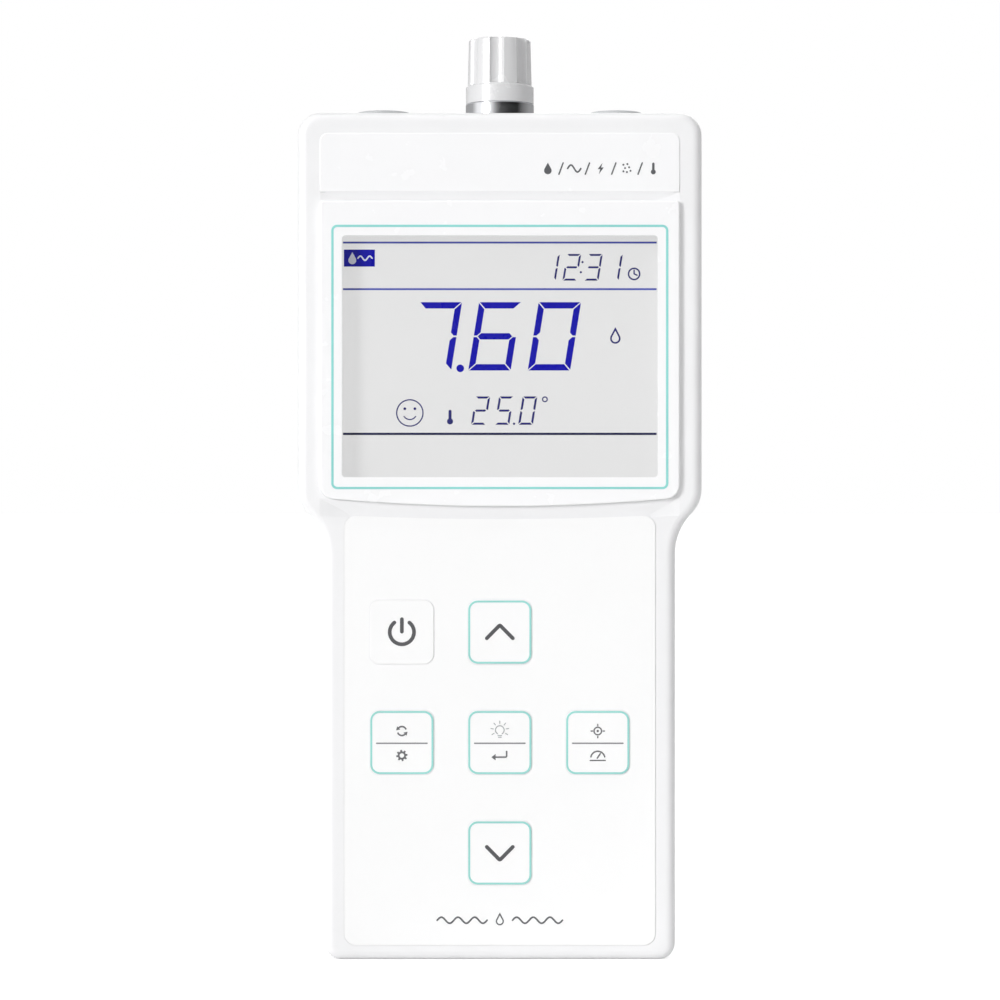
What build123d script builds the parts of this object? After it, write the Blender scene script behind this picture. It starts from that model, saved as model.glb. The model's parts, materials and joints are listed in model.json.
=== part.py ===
from build123d import *
import math
import os

# Portable conductivity meter. Millimetres. X is the width, Y runs from the front face (low)
# to the back (high), Z runs up the length, and z = 0 is the bottom end it stands on.
os.makedirs("parts", exist_ok=True)

# Clearances
SLIDE_GAP = 0.3
KEY_GAP = 0.2
FIT_GAP = 0.05
PIVOT_GAP = 0.06
THREAD_GAP = 0.02
HOLE_END_GAP = 0.7
ROOT = 0.5

# Keys, whose grid sets the overlay and the grip
KEY_SIZE = 13.6
KEY_CORNER_R = 2.1
KEY_COLUMN_SPACE = 7.2
KEY_ROW_SPACE = 9.85
KEY_PROUD = 0.15
KEY_EDGE_R = 0.12
KEY_TRAVEL = 0.5
KEY_STEP = 0.45
KEY_FLANGE = 1.4
KEY_FLANGE_THICK = 0.8
KEY_WALL = 1.2
KEY_TOP_WALL = 1.4
KEY_STEM_R = 2.2
KEY_FRAME_WALL = 1.0

# Screen, which sets the bezel and the head
SCREEN_WIDTH = 67.0
SCREEN_HEIGHT = 51.3
SCREEN_R = 0.8
PANE_SINK = 0.4
PANE_MARGIN = 2.0
LCD_SIDE = 2.5
LCD_FOOT = 3.0
LCD_HEAD = 5.5
LCD_SETBACK = 0.2
LCD_SHEET = 1.1
LCD_LEDGE = 2.6
BACKLIGHT_SIDE = 1.5
BACKLIGHT_THICK = 2.6
HOLDER_RIM = 2.0
HOLDER_GAP = 0.2
SHELF_BAR = 1.0
ZEBRA_INSET = 4.0
ZEBRA_HEIGHT = 2.0
PEG_R = 0.9
PEG_INSET = 12.4

# Panels of the front face and the margins round them
FOOT_MARGIN = 3.2
OVERLAY_FOOT = 12.8
OVERLAY_HEAD = 18.0
OVERLAY_SIDE = 5.45
OVERLAY_BOW = 0.8
OVERLAY_CORNER_R = 2.5
OVERLAY_THICK = 0.4
OVERLAY_PROUD = 0.1
MID_GAP = 3.7
BEZEL_FOOT = 4.4
BEZEL_HEAD = 7.4
BEZEL_SIDE = 4.7
BEZEL_BOW = 1.8
BEZEL_PROUD = 1.1
BEZEL_THICK = 1.4
BEZEL_TOP_R = 0.8
BEZEL_BOTTOM_R = 3.0
BEZEL_EDGE_R = 0.4
HEADER_GAP = 1.9
HEADER_HEIGHT = 12.5
HEADER_CORNER_R = 1.7
HEADER_THICK = 0.8
HEADER_PROUD = 0.2
HEADER_EDGE_R = 0.15
TOP_MARGIN = 4.5
GRIP_SHOULDER = 4.3
HEAD_SHOULDER = 4.8
VALLEY_DEPTH = 0.6
VALLEY_RAMP = 5.0
VALLEY_RAMP_R = 60.0
VALLEY_TUCK = 0.5

# Housing
FACE_Y = -15.4
FACE_WALL = 2.5
FRONT_DEPTH = 7.4
WALL = 2.6
BACK_WALL = 2.5
TOP_CORNER_R = 4.8
BOTTOM_CORNER_R = 3.5
NECK_DROP = 3.8
NECK_RISE = 6.75
NECK_LOW_R = 12.0
NECK_HIGH_R = 7.0
FRONT_EDGE_R = 2.0
BACK_EDGE_R = 4.5
CAVITY_EDGE_R = 2.0
PARTING_BEVEL = 0.3

# Joint between the two shells
TONGUE_OFFSET = 1.3
TONGUE_WIDTH = 1.0
TONGUE_HEIGHT = 0.5
GROOVE_WIDTH = 1.1
GROOVE_DEPTH = 1.5

# Rubber mat and switches under the keys
MAT_SIDE = 2.4
MAT_MARGIN = 3.75
MAT_THICK = 0.8
MAT_RIM = 1.2
MAT_CORNER_R = 3.0
MAT_NUB_R = 1.6
MAT_NUB_DROP = 0.7
MAT_DOME_R = 4.4
MAT_DOME_WALL = 0.8
SWITCH_SIZE = 6.0
SWITCH_HEIGHT = 2.4
SWITCH_LID = 0.3
PLUNGER_R = 1.7
PLUNGER_HEIGHT = 0.5

# Main board
BOARD_THICK = 1.6
BOARD_HEAD_SIDE = 5.0
BOARD_CORNER_R = 1.0
BOARD_TOP_GAP = 3.0
BOARD_BOSS_R = 2.4
BOARD_SCREW_R = 0.9
BOARD_SCREW_LENGTH = 5.0
BOARD_SCREW_HEAD_R = 1.9
BOARD_SCREW_HEAD = 1.2
BOARD_HOLE_GAP = 0.35
SHIELD_WIDTH = 24.0
SHIELD_HEIGHT = 22.0
SHIELD_DEPTH = 4.0
SHIELD_WALL = 0.3
SHIELD_X = 20.0
SHIELD_TOP_GAP = 10.0
SHIELD_VENT_R = 0.8
SHIELD_VENT_PITCH = 6.0
CHIP_RISE = 0.1
CHIP_THICK = 1.3
LEG_LENGTH = 0.7
LEG_THICK = 0.35
CONTROLLER_SIZE = 10.0
CONTROLLER_X = -8.0
CONTROLLER_DROP = 38.0
DRIVER_WIDTH = 6.0
DRIVER_HEIGHT = 8.0
DRIVER_X = 14.0
DRIVER_RISE = 13.2
REGULATOR_WIDTH = 4.0
REGULATOR_HEIGHT = 5.0
REGULATOR_X = -24.0
AMPLIFIER_X = 2.0
AMPLIFIER_RISE = 5.2
CAPACITOR_R = 3.15
CAPACITOR_HEIGHT = 7.0
CAPACITOR_X = -26.0
CAPACITOR_PITCH = 8.5
BUZZER_R = 2.5
BUZZER_HEIGHT = 5.5
BUZZER_X = 28.0
BUZZER_RISE = 9.2
CRYSTAL_WIDTH = 9.0
CRYSTAL_HEIGHT = 4.2
CRYSTAL_DEPTH = 3.4
CRYSTAL_GAP = 3.6
RESISTOR_WIDTH = 1.2
RESISTOR_HEIGHT = 2.0
RESISTOR_DEPTH = 0.6
RESISTOR_PITCH = 4.2
RESISTOR_DROP = 47.0
PLUG_BOX_WIDTH = 12.0
PLUG_BOX_DEPTH = 4.5
PLUG_BOX_HEIGHT = 4.0
PLUG_BOX_WALL = 0.7
PLUG_BOX_X = 10.0
PLUG_BOX_DROP = 6.8

# Case screws, driven from the back into bosses of the front shell
CASE_BOSS_R = 3.0
CASE_TOWER_R = 3.4
CASE_HEAD_R = 2.4
CASE_HEAD = 2.0
CASE_WELL_R = 2.7
CASE_WELL_DEPTH = 12.5
CASE_SHANK_R = 1.2
CASE_SCREW_BITE = 3.5
CASE_CAP_THICK = 2.3
CASE_CAP_SINK = 0.3
DRIVE_SLOT = 0.5

# Battery bay and its door
CELL_R = 7.25
CELL_LENGTH = 50.5
CELL_SPACE = 0.5
CELL_NUB_R = 2.75
CELL_NUB = 1.2
CELL_BASE_R = 4.6
CELL_BASE = 0.3
CELL_FLOOR_GAP = 0.15
CELL_DOOR_GAP = 0.55
BAY_SIDE_GAP = 0.55
BAY_LOW_Z = 18.0
BAY_BOARD_GAP = 2.8
BAY_WALL = 1.6
BAY_CORNER_R = 1.5
PLATE_SIZE = 11.0
PLATE_THICK = 0.5
SPRING_ROOM = 4.25
SPRING_THICK = 0.3
SPRING_WIDTH = 6.0
DOOR_SIDE = 7.2
DOOR_END = 4.6
DOOR_CORNER_R = 4.0
DOOR_THICK = 2.4
DOOR_EDGE_R = 0.5
DOOR_RIB_INSET = 12.0
DOOR_RIB = 1.8
GRIP_LINES = 5
GRIP_LINE = 1.0
GRIP_LINE_LENGTH = 20.0
GRIP_LINE_PITCH = 2.2
GRIP_LINE_INSET = 5.0
SHELF_THICK = 2.4
SHELF_MARGIN = 2.0
DOOR_SCREW_R = 1.25
DOOR_SCREW_HEAD_R = 2.4
DOOR_SCREW_HEAD = 1.2
DOOR_SCREW_INSET = 3.6
DOOR_SCREW_END = 10.7
DOOR_TOWER_LENGTH = 8.0
DOOR_TOWER_R = 2.9
GASKET_MARGIN = 1.0
GASKET_WIDTH = 1.2
GASKET_DEPTH = 0.8
GASKET_CORNER_R = 2.4

# Kickstand
STAND_WIDTH = 44.0
STAND_LENGTH = 57.4
STAND_DOOR_GAP = 6.2
STAND_END_GAP = 0.6
STAND_THICK = 2.8
STAND_HUB_R = 2.1
STAND_PIN_R = 1.4
STAND_PIN_LENGTH = 1.9
STAND_CORNER_R = 5.0
DISH_SIDE = 7.0
DISH_END = 12.0
DISH_DEPTH = 0.7
RELIEF_DEPTH = 1.0
SCOOP_R = 6.0
SCOOP_DEPTH = 2.3
SCOOP_WIDTH = 18.0
SCOOP_EDGE_R = 1.5
POCKET_WALL = 2.0

# Sockets along the top wall
SOCKET_Y = 0.0
JACK_INSET = 17.8
RING_R = 7.4
RING_HEIGHT = 3.5
RING_BEVEL = 0.25
BARREL_R = 4.5
BARREL_HEIGHT = 14.8
BARREL_BORE_R = 3.9
BARREL_BORE_DEPTH = 10.8
SHANK_R = 4.6
SHANK_LENGTH = 11.2
SLEEVE_R = 3.0
INSULATOR_R = 2.4
CONTACT_R = 1.15
CONTACT_BORE_R = 0.65
CONTACT_BORE = 5.0
CONTACT_SINK = 3.0
CONTACT_TAIL = 1.5
LUG_R = 1.0
LUG_REACH = 5.3
LUG_DROP = 5.5
NUT_ACROSS = 13.0
NUT_THICK = 2.4
WASHER_R = 6.6
WASHER_THICK = 0.8
JACK_R = 3.8
JACK_LENGTH = 12.7
JACK_PROUD = 0.7
JACK_BORE_R = 1.8
JACK_FLANGE = 1.2
JACK_NUT_ACROSS = 10.0
JACK_NUT_THICK = 2.9
TAB_REACH = 2.2
TAB_LENGTH = 2.4
TAB_WIDTH = 1.4
TAB_THICK = 0.4
LEAD_R = 0.5
LEAD_DROP = 5.2
PLUG_R = 6.0
PLUG_RISE = 1.6
PLUG_EDGE_R = 0.5
PLUG_STEM_LENGTH = 8.0

# Dust cap
CAP_SKIRT_R = 7.35
CAP_SKIRT_HEIGHT = 3.6
CAP_SKIRT_BEVEL = 0.25
CAP_FOOT_R = 6.95
CAP_TIP_R = 6.7
CAP_CROWN = 1.6
CAP_EDGE_R = 0.4
CAP_FLUTES = 7
CAP_FLUTE_DEPTH = 0.9
CAP_FLUTE_R = 2.15
CAP_FLUTE_START = 0.4
CAP_FIRST_FLUTE = -5.7
LINER_THICK = 1.0
CAP_CLIMB = 2.2
CAP_TURN = 90.0
CAP_TRACK_OVERRUN = 16.0

# Front face, worked out from the key grid and the screen
KEY_COLUMN = KEY_SIZE + KEY_COLUMN_SPACE
KEY_ROW = KEY_SIZE + KEY_ROW_SPACE
KEY_LOW_Z = FOOT_MARGIN + OVERLAY_FOOT + KEY_SIZE / 2
KEYS = {
    "power_key": (-KEY_COLUMN, KEY_LOW_Z + 2 * KEY_ROW),
    "up_key": (0.0, KEY_LOW_Z + 2 * KEY_ROW),
    "mode_key": (-KEY_COLUMN, KEY_LOW_Z + KEY_ROW),
    "enter_key": (0.0, KEY_LOW_Z + KEY_ROW),
    "cal_key": (KEY_COLUMN, KEY_LOW_Z + KEY_ROW),
    "down_key": (0.0, KEY_LOW_Z),
}
KEYS_WIDTH = 2 * KEY_COLUMN + KEY_SIZE
KEYS_LOW_Z = KEY_LOW_Z - KEY_SIZE / 2
KEYS_HIGH_Z = KEY_LOW_Z + 2 * KEY_ROW + KEY_SIZE / 2
OVERLAY_WIDTH = KEYS_WIDTH + 2 * OVERLAY_SIDE
OVERLAY_LOW_Z = FOOT_MARGIN
OVERLAY_CORNER_Z = KEYS_HIGH_Z + OVERLAY_HEAD
BEZEL_CORNER_Z = OVERLAY_CORNER_Z + MID_GAP
SCREEN_LOW_Z = BEZEL_CORNER_Z + BEZEL_FOOT
SCREEN_HIGH_Z = SCREEN_LOW_Z + SCREEN_HEIGHT
BEZEL_HIGH_Z = SCREEN_HIGH_Z + BEZEL_HEAD
HEADER_LOW_Z = BEZEL_HIGH_Z + HEADER_GAP
HEADER_HIGH_Z = HEADER_LOW_Z + HEADER_HEIGHT
PANEL_WIDTH = SCREEN_WIDTH + 2 * BEZEL_SIDE
GRIP_WIDTH = OVERLAY_WIDTH + 2 * GRIP_SHOULDER
HEAD_WIDTH = PANEL_WIDTH + 2 * HEAD_SHOULDER
BODY_HEIGHT = HEADER_HIGH_Z + TOP_MARGIN
NECK_LOW_Z = OVERLAY_CORNER_Z - NECK_DROP
NECK_HIGH_Z = NECK_LOW_Z + NECK_RISE

# Depths from the front face to the back, each seated on the one before
OVERLAY_FRONT_Y = FACE_Y - OVERLAY_PROUD
OVERLAY_SEAT_Y = OVERLAY_FRONT_Y + OVERLAY_THICK
BEZEL_FRONT_Y = FACE_Y - BEZEL_PROUD
BEZEL_SEAT_Y = BEZEL_FRONT_Y + BEZEL_THICK
HEADER_FRONT_Y = FACE_Y - HEADER_PROUD
HEADER_SEAT_Y = HEADER_FRONT_Y + HEADER_THICK
INNER_Y = FACE_Y + FACE_WALL
PARTING_Y = FACE_Y + FRONT_DEPTH
KEY_TOP_Y = OVERLAY_FRONT_Y - KEY_PROUD
FLANGE_BACK_Y = INNER_Y + KEY_FLANGE_THICK
MAT_FRONT_Y = FLANGE_BACK_Y + KEY_TRAVEL + 0.1
MAT_BACK_Y = MAT_FRONT_Y + MAT_THICK
PLUNGER_TOP_Y = MAT_BACK_Y + MAT_NUB_DROP
SWITCH_TOP_Y = PLUNGER_TOP_Y + PLUNGER_HEIGHT
BOARD_FRONT_Y = SWITCH_TOP_Y + SWITCH_HEIGHT
BOARD_BACK_Y = BOARD_FRONT_Y + BOARD_THICK
LCD_FRONT_Y = INNER_Y + LCD_SETBACK
LCD_BACK_Y = LCD_FRONT_Y + 2 * LCD_SHEET
BACKLIGHT_BACK_Y = LCD_BACK_Y + BACKLIGHT_THICK
BAY_FLOOR_Y = BOARD_BACK_Y + BAY_BOARD_GAP + BAY_WALL
CELL_Y = BAY_FLOOR_Y + CELL_FLOOR_GAP + CELL_R
DOOR_INNER_Y = CELL_Y + CELL_R + CELL_DOOR_GAP
SHELF_Y = DOOR_INNER_Y
BACK_Y = DOOR_INNER_Y + DOOR_THICK
BACK_WALL_Y = BACK_Y - BACK_WALL
CASE_SEAT_Y = BACK_Y - CASE_WELL_DEPTH
STAND_PIVOT_Y = BACK_Y - STAND_HUB_R

# Heights and widths of the inner pieces and of the back
MAT_WIDTH = KEYS_WIDTH + 2 * MAT_SIDE
MAT_LOW_Z = KEYS_LOW_Z - MAT_MARGIN
MAT_HIGH_Z = KEYS_HIGH_Z + MAT_MARGIN
LCD_WIDTH = SCREEN_WIDTH + 2 * LCD_SIDE
LCD_LOW_Z = SCREEN_LOW_Z - LCD_FOOT
LCD_HIGH_Z = SCREEN_HIGH_Z + LCD_HEAD
CELL_PITCH = 2 * CELL_R + CELL_SPACE
BAY_WIDTH = 2 * CELL_PITCH + 2 * CELL_R + 2 * BAY_SIDE_GAP
BAY_HIGH_Z = BAY_LOW_Z + CELL_LENGTH + SPRING_ROOM + 2 * PLATE_THICK + FIT_GAP
DOOR_WIDTH = BAY_WIDTH + 2 * DOOR_SIDE
DOOR_LOW_Z = BAY_LOW_Z - DOOR_END
DOOR_HIGH_Z = BAY_HIGH_Z + DOOR_END
STAND_FOOT_Z = DOOR_HIGH_Z + STAND_DOOR_GAP
STAND_PIVOT_Z = STAND_FOOT_Z + STAND_LENGTH

# Heights along the top wall
TOP_WALL_Z = BODY_HEIGHT - WALL
RING_TOP_Z = BODY_HEIGHT + RING_HEIGHT
BARREL_TOP_Z = BODY_HEIGHT + BARREL_HEIGHT
LUG_Z = BARREL_TOP_Z - LUG_DROP
LINER_TOP_Z = BARREL_TOP_Z + LINER_THICK
CAP_TOP_Z = LINER_TOP_Z + CAP_CROWN
CAP_SKIRT_HIGH_Z = RING_TOP_Z + CAP_SKIRT_HEIGHT
SHANK_LOW_Z = BODY_HEIGHT - SHANK_LENGTH
JACK_LOW_Z = BODY_HEIGHT - JACK_LENGTH
JACK_X = HEAD_WIDTH / 2 - JACK_INSET
BOARD_HEAD_WIDTH = HEAD_WIDTH - 2 * BOARD_HEAD_SIDE
BOARD_GRIP_WIDTH = MAT_WIDTH
BOARD_LOW_Z = MAT_LOW_Z
BOARD_STEP_Z = LCD_LOW_Z - 0.8
BOARD_HIGH_Z = SHANK_LOW_Z - BOARD_TOP_GAP


def half(width):
    return width / 2.0


def pairs(places):
    """Each place and its mirror on the other side of the middle."""
    return [(side * x, z) for x, z in places for side in (-1, 1)]


BOARD_SCREWS = pairs(
    [
        (half(HEAD_WIDTH) - 8.0, BOARD_HIGH_Z - 2.8),
        (KEY_COLUMN + 3.2, KEYS_HIGH_Z + 11.0),
        (KEY_COLUMN + 0.7, KEY_LOW_Z - 2.8),
    ]
)
CASE_SCREWS = pairs(
    [
        (half(HEAD_WIDTH) - 7.0, BODY_HEIGHT - 9.6),
        (half(GRIP_WIDTH) - 6.15, DOOR_HIGH_Z + 8.6),
        (half(GRIP_WIDTH) - 7.35, DOOR_LOW_Z - 5.0),
    ]
)
DOOR_SCREWS = pairs(
    [
        (half(DOOR_WIDTH) - DOOR_SCREW_INSET, DOOR_LOW_Z + DOOR_SCREW_END),
        (half(DOOR_WIDTH) - DOOR_SCREW_INSET, DOOR_HIGH_Z - DOOR_SCREW_END),
    ]
)


def slab(profile, front, back):
    """Front-view profile extruded between two depths, front < back."""
    return extrude(Plane.XZ.offset(-back) * profile, amount=back - front)


def block(width, depth, height, x, y, z):
    """Box given by its middle in x and its lowest y and z."""
    return Pos(x, y + depth / 2, z + height / 2) * Box(width, depth, height)


def rod_y(radius, front, back, x, z):
    return Pos(x, (front + back) / 2, z) * Rot(90, 0, 0) * Cylinder(radius, back - front)


def rod_z(radius, low, high, x=0.0, y=SOCKET_Y):
    return Pos(x, y, (low + high) / 2) * Cylinder(radius, high - low)


def rod_x(radius, left, right, y, z):
    return Pos((left + right) / 2, y, z) * Rot(0, 90, 0) * Cylinder(radius, right - left)


def rounded(width, low, high, radius, x=0.0):
    return Pos(x, (low + high) / 2) * RectangleRounded(width, high - low, radius)


def ring(outer, inner, front, back):
    return slab(outer, front, back) - slab(inner, front - 1, back + 1)


def body_outline(inset=0.0):
    right = [
        (half(GRIP_WIDTH), 0.0),
        (half(GRIP_WIDTH), NECK_LOW_Z),
        (half(HEAD_WIDTH), NECK_HIGH_Z),
        (half(HEAD_WIDTH), BODY_HEIGHT),
    ]
    radii = [BOTTOM_CORNER_R, NECK_LOW_R, NECK_HIGH_R, TOP_CORNER_R]
    points = right + [(-x, z) for x, z in reversed(right)]
    outline = make_face(FilletPolyline(*points, radius=radii + radii[::-1], close=True))
    if inset == 0.0:
        return outline
    return offset(outline, amount=-inset)


def bowed_edge(start, end, mid):
    if mid == start[1]:
        return Line(start, end)
    return ThreePointArc(start, (0, mid), end)


def arc_panel(width, low_corner, low_mid, high_corner, high_mid, low_r, high_r):
    """Panel with straight sides whose lower and upper edges bow by low_mid and high_mid."""
    w = half(width)
    lower = bowed_edge((-w, low_corner), (w, low_corner), low_mid)
    right = Line((w, low_corner), (w, high_corner))
    upper = bowed_edge((w, high_corner), (-w, high_corner), high_mid)
    left = Line((-w, high_corner), (-w, low_corner))
    face = make_face(Curve() + [lower, right, upper, left])
    corners = face.vertices().sort_by(Axis.Y)
    if high_r > 0:
        face = fillet(corners[2:], high_r)
    if low_r > 0:
        face = fillet(face.vertices().sort_by(Axis.Y)[:2], low_r)
    return face


def bezel_profile(grow=0.0):
    low = BEZEL_CORNER_Z - grow
    high = BEZEL_HIGH_Z + grow
    width = PANEL_WIDTH + 2 * grow
    return arc_panel(width, low, low - BEZEL_BOW, high, high, BEZEL_BOTTOM_R, BEZEL_TOP_R)


def overlay_profile(grow=0.0):
    low = OVERLAY_LOW_Z - grow
    high = OVERLAY_CORNER_Z + grow
    width = OVERLAY_WIDTH + 2 * grow
    mid = high - OVERLAY_BOW
    return arc_panel(width, low, low, high, mid, OVERLAY_CORNER_R, OVERLAY_CORNER_R)


def header_profile(grow=0.0):
    face = Pos(0, (HEADER_LOW_Z + HEADER_HIGH_Z) / 2) * Rectangle(
        PANEL_WIDTH + 2 * grow, HEADER_HIGH_Z - HEADER_LOW_Z + 2 * grow
    )
    return fillet(face.vertices().sort_by(Axis.Y)[2:], HEADER_CORNER_R)


def key_profile(name, grow=0.0, extra_r=0.0):
    x, z = KEYS[name]
    size = KEY_SIZE + 2 * grow
    return Pos(x, z) * RectangleRounded(size, size, KEY_CORNER_R + extra_r)


def screen_profile(grow=0.0):
    return rounded(SCREEN_WIDTH + 2 * grow, SCREEN_LOW_Z - grow, SCREEN_HIGH_Z + grow, SCREEN_R)


def board_profile():
    head = Pos(0, (BOARD_STEP_Z + BOARD_HIGH_Z) / 2) * Rectangle(
        BOARD_HEAD_WIDTH, BOARD_HIGH_Z - BOARD_STEP_Z
    )
    grip = Pos(0, (BOARD_LOW_Z + BOARD_STEP_Z) / 2) * Rectangle(
        BOARD_GRIP_WIDTH, BOARD_STEP_Z - BOARD_LOW_Z
    )
    face = head + grip
    ends = face.vertices().sort_by(Axis.Y)
    face = fillet(ends[:2] + ends[-2:], BOARD_CORNER_R)
    for x, z in CASE_SCREWS:
        face -= Pos(x, z) * Circle(CASE_TOWER_R + SLIDE_GAP)
    return face


def valley_room(low_z, high_z):
    """Room that fades out in a curve towards both sides, so that a trough in it has no end walls."""
    reach = half(PANEL_WIDTH)
    deep_y = FACE_Y + VALLEY_DEPTH + FIT_GAP
    plan = Polyline(
        (-reach, FACE_Y - 2),
        (-reach, FACE_Y),
        (-reach + VALLEY_RAMP, deep_y),
        (reach - VALLEY_RAMP, deep_y),
        (reach, FACE_Y),
        (reach, FACE_Y - 2),
        close=True,
    )
    plan = make_face(plan)
    plan = fillet(plan.vertices().sort_by(Axis.Y)[-2:], VALLEY_RAMP_R)
    return extrude(Plane.XY.offset(low_z) * plan, amount=high_z - low_z)


def upper_valley():
    """Trough that falls from the header panel to the top of the bezel."""
    profile = Polyline(
        (FACE_Y - 2, HEADER_LOW_Z),
        (FACE_Y, HEADER_LOW_Z),
        (FACE_Y + VALLEY_DEPTH, BEZEL_HIGH_Z),
        (FACE_Y - 2, BEZEL_HIGH_Z),
        close=True,
    )
    trough = extrude(Plane.YZ * make_face(profile), amount=half(PANEL_WIDTH) + 1, both=True)
    return trough & valley_room(BEZEL_HIGH_Z - 1, HEADER_LOW_Z + 1)


def lower_valley():
    """Trough below the bezel that follows its bow: steep at the bezel, level where it ends, which
    is just under the overlay's edge."""
    high_z = BEZEL_CORNER_Z - BEZEL_BOW + BEZEL_EDGE_R
    low_z = OVERLAY_CORNER_Z - OVERLAY_BOW - VALLEY_TUCK
    fall = high_z - low_z
    curve_r = (fall**2 + VALLEY_DEPTH**2) / (2 * VALLEY_DEPTH)
    middle = math.asin(fall / curve_r) / 2
    floor_y = FACE_Y + VALLEY_DEPTH
    curve_y = floor_y - curve_r * (1 - math.cos(middle))
    curve = ThreePointArc(
        (FACE_Y, high_z), (curve_y, low_z + curve_r * math.sin(middle)), (floor_y, low_z)
    )
    rest = Polyline(
        (floor_y, low_z),
        (FACE_Y - 2, low_z),
        (FACE_Y - 2, high_z),
        (FACE_Y, high_z),
    )
    profile = Plane.YZ * make_face(Curve() + [curve, rest])
    bow = half(BEZEL_BOW + OVERLAY_BOW)
    reach = half(PANEL_WIDTH) + 1
    bow_r = (reach**2 + bow**2) / (2 * bow)
    turn = math.degrees(math.asin(reach / bow_r))
    centre_z = high_z + bow_r
    trough = revolve(profile, axis=Axis((0, 0, centre_z), (0, 1, 0)), revolution_arc=2 * turn)
    trough = Pos(0, 0, centre_z) * Rot(0, -turn, 0) * Pos(0, 0, -centre_z) * trough
    trough = trough & valley_room(low_z - 1, high_z + 3)
    return trough - slab(overlay_profile(), FACE_Y - 3, floor_y + 1)


def tongue_ring(width, low, high):
    middle = TONGUE_OFFSET
    outer = body_outline(middle - width / 2)
    inner = body_outline(middle + width / 2)
    return ring(outer, inner, low, high)


def front_housing():
    shell = slab(body_outline(), FACE_Y, PARTING_Y)
    shell = fillet(shell.faces().sort_by(Axis.Y)[0].edges(), FRONT_EDGE_R)
    shell = chamfer(shell.faces().sort_by(Axis.Y)[-1].edges(), PARTING_BEVEL)
    shell -= slab(body_outline(WALL), INNER_Y, PARTING_Y + 1)
    shell += tongue_ring(TONGUE_WIDTH, PARTING_Y - ROOT, PARTING_Y + TONGUE_HEIGHT)

    for name in KEYS:
        frame = ring(
            key_profile(name, KEY_FLANGE + SLIDE_GAP + KEY_FRAME_WALL, KEY_FRAME_WALL),
            key_profile(name, KEY_FLANGE + SLIDE_GAP),
            INNER_Y,
            MAT_FRONT_Y,
        )
        shell += frame
    for x, z in BOARD_SCREWS:
        shell += rod_y(BOARD_BOSS_R, INNER_Y - ROOT, BOARD_FRONT_Y, x, z)
        bite = BOARD_SCREW_LENGTH - BOARD_THICK + HOLE_END_GAP
        shell -= rod_y(BOARD_SCREW_R, BOARD_FRONT_Y - bite, BOARD_FRONT_Y + 1, x, z)
    inside = slab(body_outline(WALL - ROOT), INNER_Y - ROOT, PARTING_Y)
    for x, z in CASE_SCREWS:
        shell += rod_y(CASE_BOSS_R, INNER_Y - ROOT, PARTING_Y, x, z) & inside
        bite = CASE_SCREW_BITE + HOLE_END_GAP
        shell -= rod_y(CASE_SHANK_R, PARTING_Y - bite, PARTING_Y + 1, x, z)

    shell -= slab(header_profile(FIT_GAP), HEADER_FRONT_Y - 1, HEADER_SEAT_Y)
    shell -= upper_valley()
    shell -= lower_valley()
    shell -= slab(bezel_profile(FIT_GAP), BEZEL_FRONT_Y - 1, BEZEL_SEAT_Y)
    shell -= slab(overlay_profile(FIT_GAP), OVERLAY_FRONT_Y - 1, OVERLAY_SEAT_Y)
    shell -= slab(screen_profile(PANE_MARGIN / 2), FACE_Y - 1, INNER_Y + 1)
    for name in KEYS:
        opening = key_profile(name, KEY_STEP + SLIDE_GAP, KEY_STEP)
        shell -= slab(opening, FACE_Y - 1, INNER_Y + 0.2)
    return shell


def bay_box(grow, front):
    return block(
        BAY_WIDTH + 2 * grow,
        BACK_WALL_Y - front,
        BAY_HIGH_Z - BAY_LOW_Z + 2 * grow,
        0,
        front,
        BAY_LOW_Z - grow,
    )


def stand_pocket(wall):
    """Room the kickstand lies in, grown by wall for the material round it."""
    gap = SLIDE_GAP + wall
    hub_r = BACK_Y - STAND_PIVOT_Y + gap
    floor_y = BACK_Y - STAND_THICK - gap
    width = STAND_WIDTH + 2 * gap
    low_z = STAND_FOOT_Z - STAND_END_GAP - wall
    box = block(width, BACK_Y + 1 - floor_y, STAND_PIVOT_Z - low_z, 0, floor_y, low_z)
    hub = rod_x(hub_r, -width / 2, width / 2, STAND_PIVOT_Y, STAND_PIVOT_Z)
    return box + hub


def door_profile(grow=0.0):
    low = DOOR_LOW_Z - grow
    return rounded(DOOR_WIDTH + 2 * grow, low, DOOR_HIGH_Z + grow, DOOR_CORNER_R + grow)


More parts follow.
